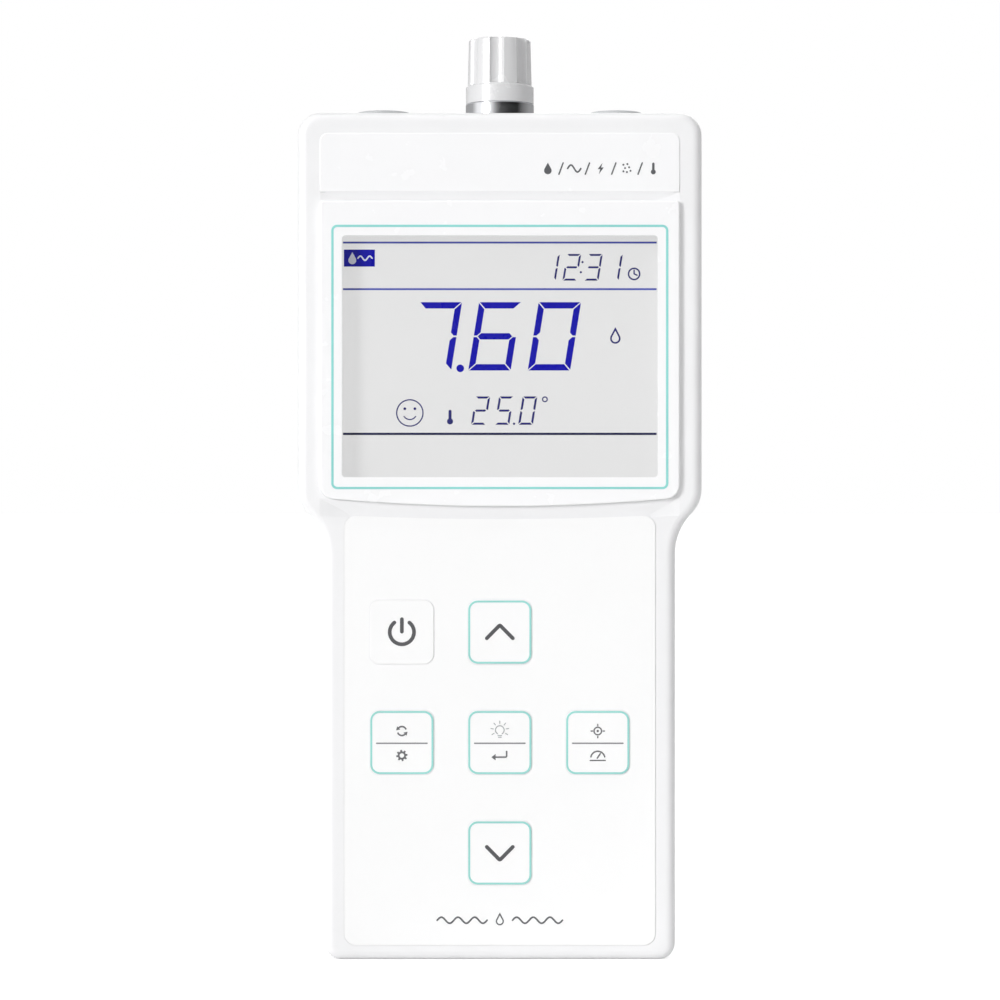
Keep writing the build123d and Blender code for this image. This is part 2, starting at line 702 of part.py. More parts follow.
def rear_housing():
    outer = slab(body_outline(), PARTING_Y, BACK_Y)
    outer = fillet(outer.faces().sort_by(Axis.Y)[-1].edges(), BACK_EDGE_R)
    outer = chamfer(outer.faces().sort_by(Axis.Y)[0].edges(), PARTING_BEVEL)
    cavity = slab(body_outline(WALL), PARTING_Y - 1, BACK_WALL_Y)
    cavity = fillet(cavity.faces().sort_by(Axis.Y)[-1].edges(), CAVITY_EDGE_R)
    shell = outer - cavity

    shelf = door_profile(SHELF_MARGIN)
    shell += slab(shelf, SHELF_Y - SHELF_THICK, BACK_WALL_Y + 0.2) & outer
    shell += bay_box(BAY_WALL, BAY_FLOOR_Y - BAY_WALL)
    shell += stand_pocket(POCKET_WALL) & outer
    for x, z in CASE_SCREWS:
        shell += rod_y(CASE_TOWER_R, PARTING_Y, BACK_WALL_Y + ROOT, x, z) & outer
    for x, z in DOOR_SCREWS:
        shell += rod_y(DOOR_TOWER_R, SHELF_Y - DOOR_TOWER_LENGTH, SHELF_Y, x, z)

    shell -= slab(door_profile(SLIDE_GAP), SHELF_Y, BACK_Y + 1)
    shell -= slab(rounded(BAY_WIDTH, BAY_LOW_Z, BAY_HIGH_Z, BAY_CORNER_R), BAY_FLOOR_Y, BACK_Y)
    shell -= stand_pocket(0.0)
    pin_end = half(STAND_WIDTH) + STAND_PIN_LENGTH + SLIDE_GAP
    shell -= rod_x(STAND_PIN_R + PIVOT_GAP, -pin_end, pin_end, STAND_PIVOT_Y, STAND_PIVOT_Z)
    scoop_y = BACK_Y + SCOOP_R - SCOOP_DEPTH
    scoop_z = STAND_FOOT_Z - STAND_END_GAP
    scoop = rod_x(SCOOP_R, -half(SCOOP_WIDTH), half(SCOOP_WIDTH), scoop_y, scoop_z)
    shell -= fillet(scoop.edges(), SCOOP_EDGE_R)

    for x, z in CASE_SCREWS:
        shell -= rod_y(CASE_WELL_R, CASE_SEAT_Y, BACK_Y + 1, x, z)
        shell -= rod_y(CASE_SHANK_R + SLIDE_GAP, PARTING_Y - 1, CASE_SEAT_Y + 1, x, z)
    for x, z in DOOR_SCREWS:
        low = SHELF_Y - DOOR_TOWER_LENGTH + HOLE_END_GAP
        shell -= rod_y(DOOR_SCREW_R + SLIDE_GAP, low, SHELF_Y + 1, x, z)

    shell -= tongue_ring(GROOVE_WIDTH, PARTING_Y - 1, PARTING_Y + GROOVE_DEPTH)
    shell -= rod_z(SHANK_R + FIT_GAP, TOP_WALL_Z - 1, BODY_HEIGHT + 1)
    for x in (-JACK_X, JACK_X):
        shell -= rod_z(JACK_R + FIT_GAP, TOP_WALL_Z - 1, BODY_HEIGHT + 1, x)
    return shell


def housing_gasket():
    return tongue_ring(
        GROOVE_WIDTH - 2 * FIT_GAP, PARTING_Y + TONGUE_HEIGHT, PARTING_Y + GROOVE_DEPTH
    )


def header_panel():
    panel = slab(header_profile(), HEADER_FRONT_Y, HEADER_SEAT_Y)
    return fillet(panel.faces().sort_by(Axis.Y)[0].edges(), HEADER_EDGE_R)


def display_bezel():
    body = slab(bezel_profile(), BEZEL_FRONT_Y, BEZEL_SEAT_Y)
    body = fillet(body.faces().sort_by(Axis.Y)[0].edges(), BEZEL_EDGE_R)
    opening = slab(screen_profile(), BEZEL_FRONT_Y - 1, BEZEL_SEAT_Y + 1)
    body -= opening
    body -= slab(screen_profile(PANE_MARGIN + FIT_GAP), BEZEL_FRONT_Y + PANE_SINK, BEZEL_SEAT_Y + 1)
    return body


def display_window():
    return slab(screen_profile(PANE_MARGIN), BEZEL_FRONT_Y + PANE_SINK, BEZEL_SEAT_Y)


def keypad_overlay():
    sheet = slab(overlay_profile(), OVERLAY_FRONT_Y, OVERLAY_SEAT_Y)
    for name in KEYS:
        sheet -= slab(key_profile(name, KEY_GAP), OVERLAY_FRONT_Y - 1, OVERLAY_SEAT_Y + 1)
    return sheet


def key(name):
    """Membrane key: raised face, shoulder under the overlay, flange behind the wall, hollow back."""
    cap = slab(key_profile(name), KEY_TOP_Y, FLANGE_BACK_Y)
    cap = fillet(cap.faces().sort_by(Axis.Y)[0].edges(), KEY_EDGE_R)
    cap += slab(key_profile(name, KEY_STEP, KEY_STEP), OVERLAY_SEAT_Y, FLANGE_BACK_Y)
    cap += slab(key_profile(name, KEY_FLANGE), INNER_Y, FLANGE_BACK_Y)
    inner = key_profile(name, -KEY_WALL, -KEY_WALL / 2)
    hollow = slab(inner, KEY_TOP_Y + KEY_TOP_WALL, FLANGE_BACK_Y + 1)
    x, z = KEYS[name]
    stem = rod_y(KEY_STEM_R, KEY_TOP_Y + KEY_TOP_WALL - ROOT, FLANGE_BACK_Y, x, z)
    return cap - hollow + stem


def keypad_mat():
    """Rubber sheet with a dome and a nub behind each key and a rim that seals on the board."""
    outline = rounded(MAT_WIDTH, MAT_LOW_Z, MAT_HIGH_Z, MAT_CORNER_R)
    inner_low = MAT_LOW_Z + MAT_RIM
    inner = rounded(MAT_WIDTH - 2 * MAT_RIM, inner_low, MAT_HIGH_Z - MAT_RIM, MAT_CORNER_R - MAT_RIM)
    mat = slab(outline, MAT_FRONT_Y, MAT_BACK_Y)
    mat += ring(outline, inner, MAT_BACK_Y - MAT_THICK / 2, BOARD_FRONT_Y)
    for x, z in KEYS.values():
        dome_top = MAT_BACK_Y + MAT_THICK / 2
        mat += rod_y(MAT_DOME_R, MAT_BACK_Y - MAT_THICK / 2, dome_top, x, z)
        mat -= rod_y(MAT_DOME_R - MAT_DOME_WALL, MAT_BACK_Y, dome_top + 1, x, z)
        mat += rod_y(MAT_NUB_R, MAT_BACK_Y - MAT_THICK / 2, PLUNGER_TOP_Y, x, z)
    for x, z in BOARD_SCREWS:
        if z < MAT_HIGH_Z:
            mat -= rod_y(BOARD_BOSS_R + SLIDE_GAP, MAT_FRONT_Y - 1, BOARD_FRONT_Y, x, z)
    return mat


def tactile_switches():
    switches = []
    for x, z in KEYS.values():
        seat = SWITCH_TOP_Y + SWITCH_LID
        low = z - half(SWITCH_SIZE)
        body = block(SWITCH_SIZE, SWITCH_HEIGHT - SWITCH_LID, SWITCH_SIZE, x, seat, low)
        body = chamfer(body.edges().filter_by(Axis.Y), SWITCH_LID)
        lid_size = SWITCH_SIZE - 2 * SWITCH_LID
        lid = block(lid_size, SWITCH_LID, lid_size, x, SWITCH_TOP_Y, low + SWITCH_LID)
        plunger = rod_y(PLUNGER_R, PLUNGER_TOP_Y, SWITCH_TOP_Y + 0.1, x, z)
        switches.append(body + lid + plunger)
    return Compound(children=switches)


def main_pcb():
    board = slab(board_profile(), BOARD_FRONT_Y, BOARD_BACK_Y)
    for x, z in BOARD_SCREWS:
        board -= rod_y(BOARD_SCREW_R + BOARD_HOLE_GAP, BOARD_FRONT_Y - 1, BOARD_BACK_Y + 1, x, z)
    for x, z in peg_sites():
        board -= rod_y(PEG_R + FIT_GAP, BOARD_FRONT_Y - 1, BOARD_BACK_Y + 1, x, z)
    return board


def peg_sites():
    x = half(LCD_WIDTH) + HOLDER_GAP + half(HOLDER_RIM) - 0.6
    return pairs([(x, LCD_LOW_Z + PEG_INSET), (x, LCD_HIGH_Z - PEG_INSET)])


def pan_screw(head_r, head_h, shank_r, length, seat, x, z):
    """Cross-head screw driven towards -Y whose head sits on the plane y = seat."""
    top = seat + head_h
    head = rod_y(head_r, seat, top, x, z)
    head = chamfer(head.faces().sort_by(Axis.Y)[-1].edges(), head_h * 0.35)
    shank = rod_y(shank_r, seat - length, seat + head_h / 2, x, z)
    drive = block(head_r * 1.1, head_h, DRIVE_SLOT, x, top - head_h * 0.45, z - half(DRIVE_SLOT))
    cross = block(DRIVE_SLOT, head_h, head_r * 1.1, x, top - head_h * 0.45, z - head_r * 0.55)
    return head + shank - drive - cross


def pcb_screws():
    shank_r = BOARD_SCREW_R - THREAD_GAP
    screws = []
    for x, z in BOARD_SCREWS:
        size = (BOARD_SCREW_HEAD_R, BOARD_SCREW_HEAD, shank_r, BOARD_SCREW_LENGTH)
        screws.append(pan_screw(*size, BOARD_BACK_Y, x, z))
    return Compound(children=screws)


def case_screws():
    shank_r = CASE_SHANK_R - THREAD_GAP
    length = CASE_SEAT_Y - PARTING_Y + CASE_SCREW_BITE
    screws = []
    for x, z in CASE_SCREWS:
        screws.append(pan_screw(CASE_HEAD_R, CASE_HEAD, shank_r, length, CASE_SEAT_Y, x, z))
    return Compound(children=screws)


def screw_caps():
    """Rubber discs that close the wells of the case screws."""
    caps = []
    top = BACK_Y - CASE_CAP_SINK
    for x, z in CASE_SCREWS:
        cap = rod_y(CASE_WELL_R - THREAD_GAP, top - CASE_CAP_THICK, top, x, z)
        caps.append(chamfer(cap.faces().sort_by(Axis.Y)[-1].edges(), CASE_CAP_SINK))
    return Compound(children=caps)


def lcd_glass():
    mid = (LCD_LOW_Z + LCD_HIGH_Z) / 2
    tall = LCD_HIGH_Z - LCD_LOW_Z
    front = slab(Pos(0, mid) * Rectangle(LCD_WIDTH, tall), LCD_FRONT_Y, LCD_FRONT_Y + LCD_SHEET)
    back_face = Pos(0, mid) * Rectangle(LCD_WIDTH, tall - 2 * LCD_LEDGE)
    return front + slab(back_face, LCD_FRONT_Y + LCD_SHEET, LCD_BACK_Y)


def backlight():
    mid = (LCD_LOW_Z + LCD_HIGH_Z) / 2
    tall = LCD_HIGH_Z - LCD_LOW_Z - 2 * LCD_LEDGE
    outline = Pos(0, mid) * Rectangle(LCD_WIDTH - 2 * BACKLIGHT_SIDE, tall)
    guide = slab(outline, LCD_BACK_Y, BACKLIGHT_BACK_Y)
    return chamfer(guide.edges().filter_by(Axis.Y), 1.0)


def lcd_holder():
    """Frame that holds the glass and the backlight, pegged to the board."""
    low = LCD_LOW_Z - HOLDER_GAP
    high = LCD_HIGH_Z + HOLDER_GAP
    width = LCD_WIDTH + 2 * HOLDER_GAP
    end_rim = HOLDER_RIM - BOARD_CORNER_R
    inner = Pos(0, (low + high) / 2) * Rectangle(width, high - low)
    outer = rounded(width + 2 * HOLDER_RIM, low - end_rim, high + end_rim, BOARD_CORNER_R)
    frame = ring(outer, inner, INNER_Y, BOARD_FRONT_Y)
    depth = BOARD_FRONT_Y - BACKLIGHT_BACK_Y
    for z in (LCD_LOW_Z + LCD_LEDGE, LCD_HIGH_Z - LCD_LEDGE - SHELF_BAR):
        frame += block(width + HOLDER_RIM, depth, SHELF_BAR, 0, BACKLIGHT_BACK_Y, z)
    for x, z in peg_sites():
        frame += rod_y(PEG_R, BOARD_FRONT_Y - ROOT, BOARD_BACK_Y + ROOT, x, z)
    return frame


def zebra_strips():
    length = LCD_WIDTH - 2 * ZEBRA_INSET
    top = LCD_FRONT_Y + LCD_SHEET
    strips = []
    for z in (LCD_LOW_Z + HOLDER_GAP, LCD_HIGH_Z - HOLDER_GAP - ZEBRA_HEIGHT):
        strips.append(block(length, BOARD_FRONT_Y - top, ZEBRA_HEIGHT, 0, top, z))
    return Compound(children=strips)


def chip(width, height, x, z, legs):
    """Surface-mount part on the back of the board, with a row of legs on two sides."""
    low = z - height / 2
    body = block(width, CHIP_THICK, height, x, BOARD_BACK_Y + CHIP_RISE, low)
    pitch = height / legs
    for side in (-1, 1):
        foot_x = x + side * (width + LEG_LENGTH) / 2
        for n in range(legs):
            foot_z = low + (n + 0.25) * pitch
            body += block(2 * LEG_LENGTH, LEG_THICK, pitch / 2, foot_x, BOARD_BACK_Y, foot_z)
    return body


def can(radius, height, x, z):
    body = rod_y(radius, BOARD_BACK_Y, BOARD_BACK_Y + height, x, z)
    return chamfer(body.faces().sort_by(Axis.Y)[-1].edges(), LEG_THICK)


def plug_box():
    """Open box header that the battery leads plug into."""
    low = BOARD_STEP_Z - PLUG_BOX_DROP
    wall = PLUG_BOX_WALL
    box = block(PLUG_BOX_WIDTH, PLUG_BOX_DEPTH, PLUG_BOX_HEIGHT, PLUG_BOX_X, BOARD_BACK_Y, low)
    inner_height = PLUG_BOX_HEIGHT - 2 * wall
    inner = (PLUG_BOX_WIDTH - 2 * wall, PLUG_BOX_DEPTH, inner_height)
    return box - block(*inner, PLUG_BOX_X, BOARD_BACK_Y + wall, low + wall)


def board_components():
    high = BOARD_HIGH_Z
    step = BOARD_STEP_Z
    controller_z = high - CONTROLLER_DROP
    small = (REGULATOR_WIDTH, REGULATOR_HEIGHT)
    parts = [
        chip(CONTROLLER_SIZE, CONTROLLER_SIZE, CONTROLLER_X, controller_z, 6),
        chip(DRIVER_WIDTH, DRIVER_HEIGHT, DRIVER_X, step + DRIVER_RISE, 4),
        chip(*small, REGULATOR_X, step + DRIVER_RISE, 3),
        chip(*small, AMPLIFIER_X, step + AMPLIFIER_RISE, 3),
        can(CAPACITOR_R, CAPACITOR_HEIGHT, CAPACITOR_X, controller_z),
        can(CAPACITOR_R, CAPACITOR_HEIGHT, CAPACITOR_X, controller_z + CAPACITOR_PITCH),
        can(BUZZER_R, BUZZER_HEIGHT, BUZZER_X, step + BUZZER_RISE),
        plug_box(),
    ]
    low = controller_z + half(CONTROLLER_SIZE) + CRYSTAL_GAP
    crystal_r = CRYSTAL_HEIGHT * 0.48
    crystal = rounded(CRYSTAL_WIDTH, low, low + CRYSTAL_HEIGHT, crystal_r, CONTROLLER_X)
    parts.append(slab(crystal, BOARD_BACK_Y, BOARD_BACK_Y + CRYSTAL_DEPTH))
    for n in (-2, -1, 0, 1, 2):
        x = CONTROLLER_X + n * RESISTOR_PITCH
        size = (RESISTOR_WIDTH, RESISTOR_DEPTH, RESISTOR_HEIGHT)
        parts.append(block(*size, x, BOARD_BACK_Y, high - RESISTOR_DROP - half(RESISTOR_HEIGHT)))
    return Compound(children=parts)


def shield_profile(inset=0.0):
    high = BOARD_HIGH_Z - SHIELD_TOP_GAP
    low = high - SHIELD_HEIGHT
    width = SHIELD_WIDTH - 2 * inset
    return Pos(SHIELD_X, (low + high) / 2) * Rectangle(width, SHIELD_HEIGHT - 2 * inset)


def shield_can():
    """Thin lid over the measuring circuit, with a grid of vent holes."""
    top = BOARD_BACK_Y + SHIELD_DEPTH
    can = slab(shield_profile(), BOARD_BACK_Y, top)
    can = chamfer(can.faces().sort_by(Axis.Y)[-1].edges(), SHIELD_WALL)
    can -= slab(shield_profile(SHIELD_WALL), BOARD_BACK_Y - 1, top - SHIELD_WALL)
    mid_z = BOARD_HIGH_Z - SHIELD_TOP_GAP - SHIELD_HEIGHT / 2
    for column in (-1, 0, 1):
        for row in (-1, 0, 1):
            x = SHIELD_X + column * SHIELD_VENT_PITCH
            z = mid_z + row * SHIELD_VENT_PITCH
            can -= rod_y(SHIELD_VENT_R, top - 1, top + 1, x, z)
    return can


def cell(x, flip):
    """One AA cell standing along Z; flip puts its nub at the lower end."""
    top = half(CELL_LENGTH)
    body = rod_z(CELL_R, -top + CELL_BASE, top - CELL_NUB, 0, 0)
    body = chamfer(body.edges(), 0.6)
    whole = body + rod_z(CELL_NUB_R, 0, top, 0, 0) + rod_z(CELL_BASE_R, -top, 0, 0, 0)
    if flip:
        whole = Rot(180, 0, 0) * whole
    return Pos(x, CELL_Y, cell_mid(flip)) * whole


def cell_mid(flip):
    """The nub end rests on its plate, so the cell sits towards that end of the bay."""
    plate = PLATE_THICK + FIT_GAP
    if flip:
        return BAY_LOW_Z + plate + half(CELL_LENGTH)
    return BAY_HIGH_Z - plate - half(CELL_LENGTH)


def cell_columns():
    return [(-CELL_PITCH, False), (0.0, True), (CELL_PITCH, False)]


def aa_cells():
    return Compound(children=[cell(x, flip) for x, flip in cell_columns()])


def battery_plates():
    """Contact plate at each end of each cell, flat against the end walls of the bay."""
    plates = []
    for x, flip in cell_columns():
        for z in (BAY_LOW_Z, BAY_HIGH_Z - PLATE_THICK):
            low_y = CELL_Y - half(PLATE_SIZE)
            plate = block(PLATE_SIZE, PLATE_SIZE, PLATE_THICK, x, low_y, z)
            plates.append(chamfer(plate.edges().filter_by(Axis.Z), PLATE_THICK))
    return Compound(children=plates)


def battery_springs():
    """Bowed leaf between each bay end and the flat end of its cell."""
    leaves = []
    rise = SPRING_ROOM - SPRING_THICK - FIT_GAP
    reach = CELL_BASE_R
    bend = reach - 1.2
    for x, flip in cell_columns():
        base = Line((-reach, 0), (-bend, 0))
        bow = ThreePointArc((-bend, 0), (0, rise), (bend, 0))
        tail = Line((bend, 0), (reach, 0))
        strip = offset(Curve() + [base, bow, tail], amount=SPRING_THICK / 2, side=Side.BOTH)
        leaf = extrude(Plane.YZ * make_face(strip), amount=half(SPRING_WIDTH), both=True)
        leaf = Pos(0, 0, SPRING_THICK / 2) * leaf
        if flip:
            leaf = Pos(x, CELL_Y, BAY_HIGH_Z - PLATE_THICK) * Rot(180, 0, 0) * leaf
        else:
            leaf = Pos(x, CELL_Y, BAY_LOW_Z + PLATE_THICK) * leaf
        leaves.append(leaf)
    return Compound(children=leaves)


def gasket_ring(grow, front, back):
    """Ring round the bay opening, on the shelf that the door rests on."""
    near = GASKET_MARGIN - grow
    far = GASKET_MARGIN + GASKET_WIDTH + grow
    outer_low = BAY_LOW_Z - far
    outer = rounded(BAY_WIDTH + 2 * far, outer_low, BAY_HIGH_Z + far, GASKET_CORNER_R)
    inner_r = GASKET_CORNER_R - GASKET_WIDTH
    inner = rounded(BAY_WIDTH + 2 * near, BAY_LOW_Z - near, BAY_HIGH_Z + near, inner_r)
    return ring(outer, inner, front, back)


def battery_door():
    door = slab(door_profile(), DOOR_INNER_Y, BACK_Y)
    door = fillet(door.faces().sort_by(Axis.Y)[-1].edges(), DOOR_EDGE_R)
    door -= gasket_ring(FIT_GAP, DOOR_INNER_Y - 1, DOOR_INNER_Y + GASKET_DEPTH)
    for z in (BAY_LOW_Z + DOOR_RIB_INSET, BAY_HIGH_Z - DOOR_RIB_INSET):
        width = BAY_WIDTH - 2 * DOOR_RIB
        low = z - half(DOOR_RIB)
        rib = block(width, DOOR_RIB, DOOR_RIB, 0, DOOR_INNER_Y - DOOR_RIB, low)
        for x, flip in cell_columns():
            rib -= rod_z(CELL_R + SLIDE_GAP, low - 1, low + DOOR_RIB + 1, x, CELL_Y)
        door += rib
    for x, z in DOOR_SCREWS:
        door -= rod_y(DOOR_SCREW_R + FIT_GAP, DOOR_INNER_Y - 1, BACK_Y + 1, x, z)
        seat = BACK_Y - DOOR_SCREW_HEAD
        door -= rod_y(DOOR_SCREW_HEAD_R + FIT_GAP, seat, BACK_Y + 1, x, z)
    for n in range(GRIP_LINES):
        z = DOOR_HIGH_Z - GRIP_LINE_INSET - GRIP_LINE_PITCH * n
        line = rounded(GRIP_LINE_LENGTH, z - half(GRIP_LINE), z + half(GRIP_LINE), GRIP_LINE * 0.45)
        door -= slab(line, BACK_Y - half(GRIP_LINE), BACK_Y + 1)
    return door


def battery_door_gasket():
    return gasket_ring(0.0, DOOR_INNER_Y, DOOR_INNER_Y + GASKET_DEPTH)


def battery_door_screws():
    seat = BACK_Y - DOOR_SCREW_HEAD
    length = seat - SHELF_Y + DOOR_TOWER_LENGTH - 2 * HOLE_END_GAP
    screws = []
    for x, z in DOOR_SCREWS:
        size = (DOOR_SCREW_HEAD_R, DOOR_SCREW_HEAD, DOOR_SCREW_R, length)
        screws.append(pan_screw(*size, seat, x, z))
    return Compound(children=screws)


def kickstand():
    """Leg hung on two stub pins, with a shallow dish outside and lightening pockets inside."""
    low = STAND_FOOT_Z
    outline = Pos(0, (low + STAND_PIVOT_Z) / 2) * Rectangle(STAND_WIDTH, STAND_PIVOT_Z - low)
    outline = fillet(outline.vertices().sort_by(Axis.Y)[:2], STAND_CORNER_R)
    leg = slab(outline, BACK_Y - STAND_THICK, BACK_Y)
    leg = fillet(leg.faces().sort_by(Axis.Y)[-1].edges().sort_by(Axis.Z)[:-1], DOOR_EDGE_R)
    hub_end = half(STAND_WIDTH)
    leg += rod_x(STAND_HUB_R, -hub_end, hub_end, STAND_PIVOT_Y, STAND_PIVOT_Z)
    dish_width = STAND_WIDTH - 2 * DISH_SIDE
    dish_high = STAND_PIVOT_Z - DISH_END + STAND_THICK
    dish = rounded(dish_width, low + DISH_END, dish_high, STAND_CORNER_R - 1.0)
    dish = slab(dish, BACK_Y - DISH_DEPTH, BACK_Y + 1)
    leg -= chamfer(dish.faces().sort_by(Axis.Y)[0].edges(), DISH_DEPTH / 2)
    rib = STAND_PIN_R
    relief_width = half(STAND_WIDTH) - STAND_THICK - rib
    relief_height = (STAND_LENGTH - STAND_CORNER_R - 3 * STAND_THICK - 2 * rib) / 3
    for side in (-1, 1):
        for n in range(3):
            z = low + STAND_CORNER_R + n * (relief_height + rib)
            x = side * half(relief_width + rib)
            relief = rounded(relief_width, z, z + relief_height, rib, x)
            inner_y = BACK_Y - STAND_THICK
            leg -= slab(relief, inner_y - 1, inner_y + RELIEF_DEPTH)
    end = hub_end + STAND_PIN_LENGTH
    pin = rod_x(STAND_PIN_R, -end, end, STAND_PIVOT_Y, STAND_PIVOT_Z)
    return leg + chamfer(pin.edges(), SLIDE_GAP)


def bnc_body():
    body = rod_z(RING_R, BODY_HEIGHT, BODY_HEIGHT + RING_HEIGHT)
    body = chamfer(body.edges(), RING_BEVEL)
    body += rod_z(BARREL_R, BODY_HEIGHT, BARREL_TOP_Z)
    body += rod_z(SHANK_R, SHANK_LOW_Z, BODY_HEIGHT + 1)
    for side in (-1, 1):
        lug = rod_x(LUG_R, 0, LUG_REACH, SOCKET_Y, LUG_Z)
        body += Rot(0, 0, 90 - 90 * side) * lug
    body -= rod_z(BARREL_BORE_R, BARREL_TOP_Z - BARREL_BORE_DEPTH, BARREL_TOP_Z + 1)
    body -= rod_z(SLEEVE_R, SHANK_LOW_Z - 1, BARREL_TOP_Z - BARREL_BORE_DEPTH + 1)
    return body


def bnc_insulator():
    floor = BARREL_TOP_Z - BARREL_BORE_DEPTH
    sleeve = rod_z(SLEEVE_R - FIT_GAP, SHANK_LOW_Z, floor)
    sleeve += rod_z(INSULATOR_R, floor - 1, BARREL_TOP_Z - CONTACT_SINK)
    return sleeve - rod_z(CONTACT_R + FIT_GAP, SHANK_LOW_Z - 1, BARREL_TOP_Z)


def bnc_contact():
    """Centre pin with a bored and slit tip; its tail end takes the lead."""
    top = BARREL_TOP_Z - CONTACT_SINK - FIT_GAP
    pin = rod_z(CONTACT_R, SHANK_LOW_Z - CONTACT_TAIL, top)
    pin -= rod_z(CONTACT_BORE_R, top - CONTACT_BORE, top + 1)
    slit = block(SLIDE_GAP, 2 * INSULATOR_R, CONTACT_BORE, 0, -INSULATOR_R, top - CONTACT_BORE + 1)
    return pin - slit


def hex_nut(across, bore, low, thick, x):
    nut = extrude(RegularPolygon(across / 2, 6, major_radius=False), amount=thick)
    nut = chamfer(nut.faces().sort_by(Axis.Z)[0].edges(), SLIDE_GAP)
    return Pos(x, SOCKET_Y, low) * nut - rod_z(bore, low - 1, low + thick + 1, x)


def bnc_nut():
    low = TOP_WALL_Z - WASHER_THICK - NUT_THICK
    return hex_nut(NUT_ACROSS, SHANK_R + THREAD_GAP, low, NUT_THICK, 0.0)


def bnc_washer():
    low = TOP_WALL_Z - WASHER_THICK
    return rod_z(WASHER_R, low, TOP_WALL_Z) - rod_z(SHANK_R + THREAD_GAP, low - 1, TOP_WALL_Z + 1)


def jack(x):
    """Round jack socket: thread through the top wall, wide inner part, two solder tabs."""
    flange_top = TOP_WALL_Z - JACK_NUT_THICK - SLIDE_GAP
    body = rod_z(JACK_R, flange_top - 1, BODY_HEIGHT + JACK_PROUD, x)
    body += rod_z(JACK_R + JACK_FLANGE, JACK_LOW_Z, flange_top, x)
    body = chamfer(body.faces().sort_by(Axis.Z)[-1].edges(), SLIDE_GAP)
    body -= rod_z(JACK_BORE_R, JACK_LOW_Z + 1.5, BODY_HEIGHT + 2, x)
    for side in (-1, 1):
        tab_x = x + side * TAB_REACH
        tab = block(TAB_WIDTH, TAB_THICK, TAB_LENGTH + ROOT, tab_x, -half(TAB_THICK), 0)
        body += Pos(0, SOCKET_Y, JACK_LOW_Z - TAB_LENGTH) * tab
    return body


def jack_nuts():
    low = TOP_WALL_Z - JACK_NUT_THICK
    size = (JACK_NUT_ACROSS, JACK_R + THREAD_GAP, low, JACK_NUT_THICK)
    return Compound(children=[hex_nut(*size, x) for x in (-JACK_X, JACK_X)])


def plug(x):
    """Silicone plug: a flat cap over the jack's collar and a stem down its bore."""
    head = rod_z(PLUG_R, BODY_HEIGHT, BODY_HEIGHT + PLUG_RISE, x)
    head = fillet(head.faces().sort_by(Axis.Z)[-1].edges(), PLUG_EDGE_R)
    collar_top = BODY_HEIGHT + JACK_PROUD + FIT_GAP
    head -= rod_z(JACK_R + SLIDE_GAP, BODY_HEIGHT - 1, collar_top, x)
    top = collar_top + SLIDE_GAP
    stem = rod_z(JACK_BORE_R - SLIDE_GAP, top - PLUG_STEM_LENGTH, top, x)
    stem = chamfer(stem.faces().sort_by(Axis.Z)[0].edges(), SLIDE_GAP)
    return head + stem


def probe_leads():
    """Short wires from the sockets' rear tabs to pads along the board's top edge."""
    wires = []
    inner = JACK_X - TAB_REACH
    outer = JACK_X + TAB_REACH
    runs = [(-outer, -outer - 1.8), (-inner, -inner - 0.7), (0, 0)]
    runs += [(inner, inner + 0.7), (outer, outer + 1.8)]
    for start_x, end_x in runs:
        tail = SHANK_LOW_Z - CONTACT_TAIL if start_x == 0 else JACK_LOW_Z - TAB_LENGTH
        low = tail - LEAD_DROP
        start = (start_x, SOCKET_Y, tail - FIT_GAP)
        bend = (start_x, SOCKET_Y, tail - LEAD_DROP / 2)
        over = (end_x, SOCKET_Y, low)
        end = (end_x, BOARD_BACK_Y + FIT_GAP, low)
        corners = [start, bend, over, end] if start_x != end_x else [start, over, end]
        path = FilletPolyline(*corners, radius=2 * LEAD_R)
        section = Plane(origin=start, z_dir=(0, 0, -1)) * Circle(LEAD_R)
        wires.append(sweep(section, path=path))
    return Compound(children=wires)


def cap_flutes():
    """Scoops round the cap body, open at its top, whose floors lean in with its taper."""
    start = CAP_SKIRT_HIGH_Z + CAP_FLUTE_START
    lean = math.degrees(math.atan2(CAP_FOOT_R - CAP_TIP_R, CAP_TOP_Z - CAP_SKIRT_HIGH_Z))
    scoop = Rot(0, -lean, 0) * rod_z(CAP_FLUTE_R, 0, CAP_TOP_Z - start + 1, 0, 0)
    scoop = Pos(CAP_FOOT_R - CAP_FLUTE_DEPTH + CAP_FLUTE_R, 0, start) * scoop
    pitch = 360.0 / CAP_FLUTES
    return [Rot(0, 0, -90 + CAP_FIRST_FLUTE + pitch * n) * scoop for n in range(CAP_FLUTES)]


def bayonet_groove(start_angle):
    """Helical track for one lug: rest pocket, ramp over a quarter turn, then a way straight out."""
    bore = BARREL_R + SLIDE_GAP
    outer = LUG_REACH + SLIDE_GAP
    mid_r = (bore + outer - ROOT) / 2
    depth = outer - bore + ROOT
    tall = 2 * (LUG_R + SLIDE_GAP + FIT_GAP)
    over = CAP_TRACK_OVERRUN
    pitch = CAP_CLIMB * 360.0 / CAP_TURN
    sweep_deg = CAP_TURN + 2 * over
    helix = Helix(pitch=pitch, height=pitch * sweep_deg / 360.0, radius=mid_r)
    section = Plane(origin=(mid_r, 0, 0), x_dir=(1, 0, 0), z_dir=(0, 1, 0)) * Rectangle(depth, tall)
    track = sweep(section, path=helix, is_frenet=True)
    low_z = LUG_Z - CAP_CLIMB - pitch * over / 360.0
    track = Pos(0, 0, low_z) * Rot(0, 0, start_angle - CAP_TURN - over) * track
    exit_high = LUG_Z - CAP_CLIMB + tall / 2
    exit_low = RING_TOP_Z - 1
    way_out = block(depth, tall, exit_high - exit_low, mid_r, -tall / 2, exit_low)
    return track, Rot(0, 0, start_angle - CAP_TURN) * way_out


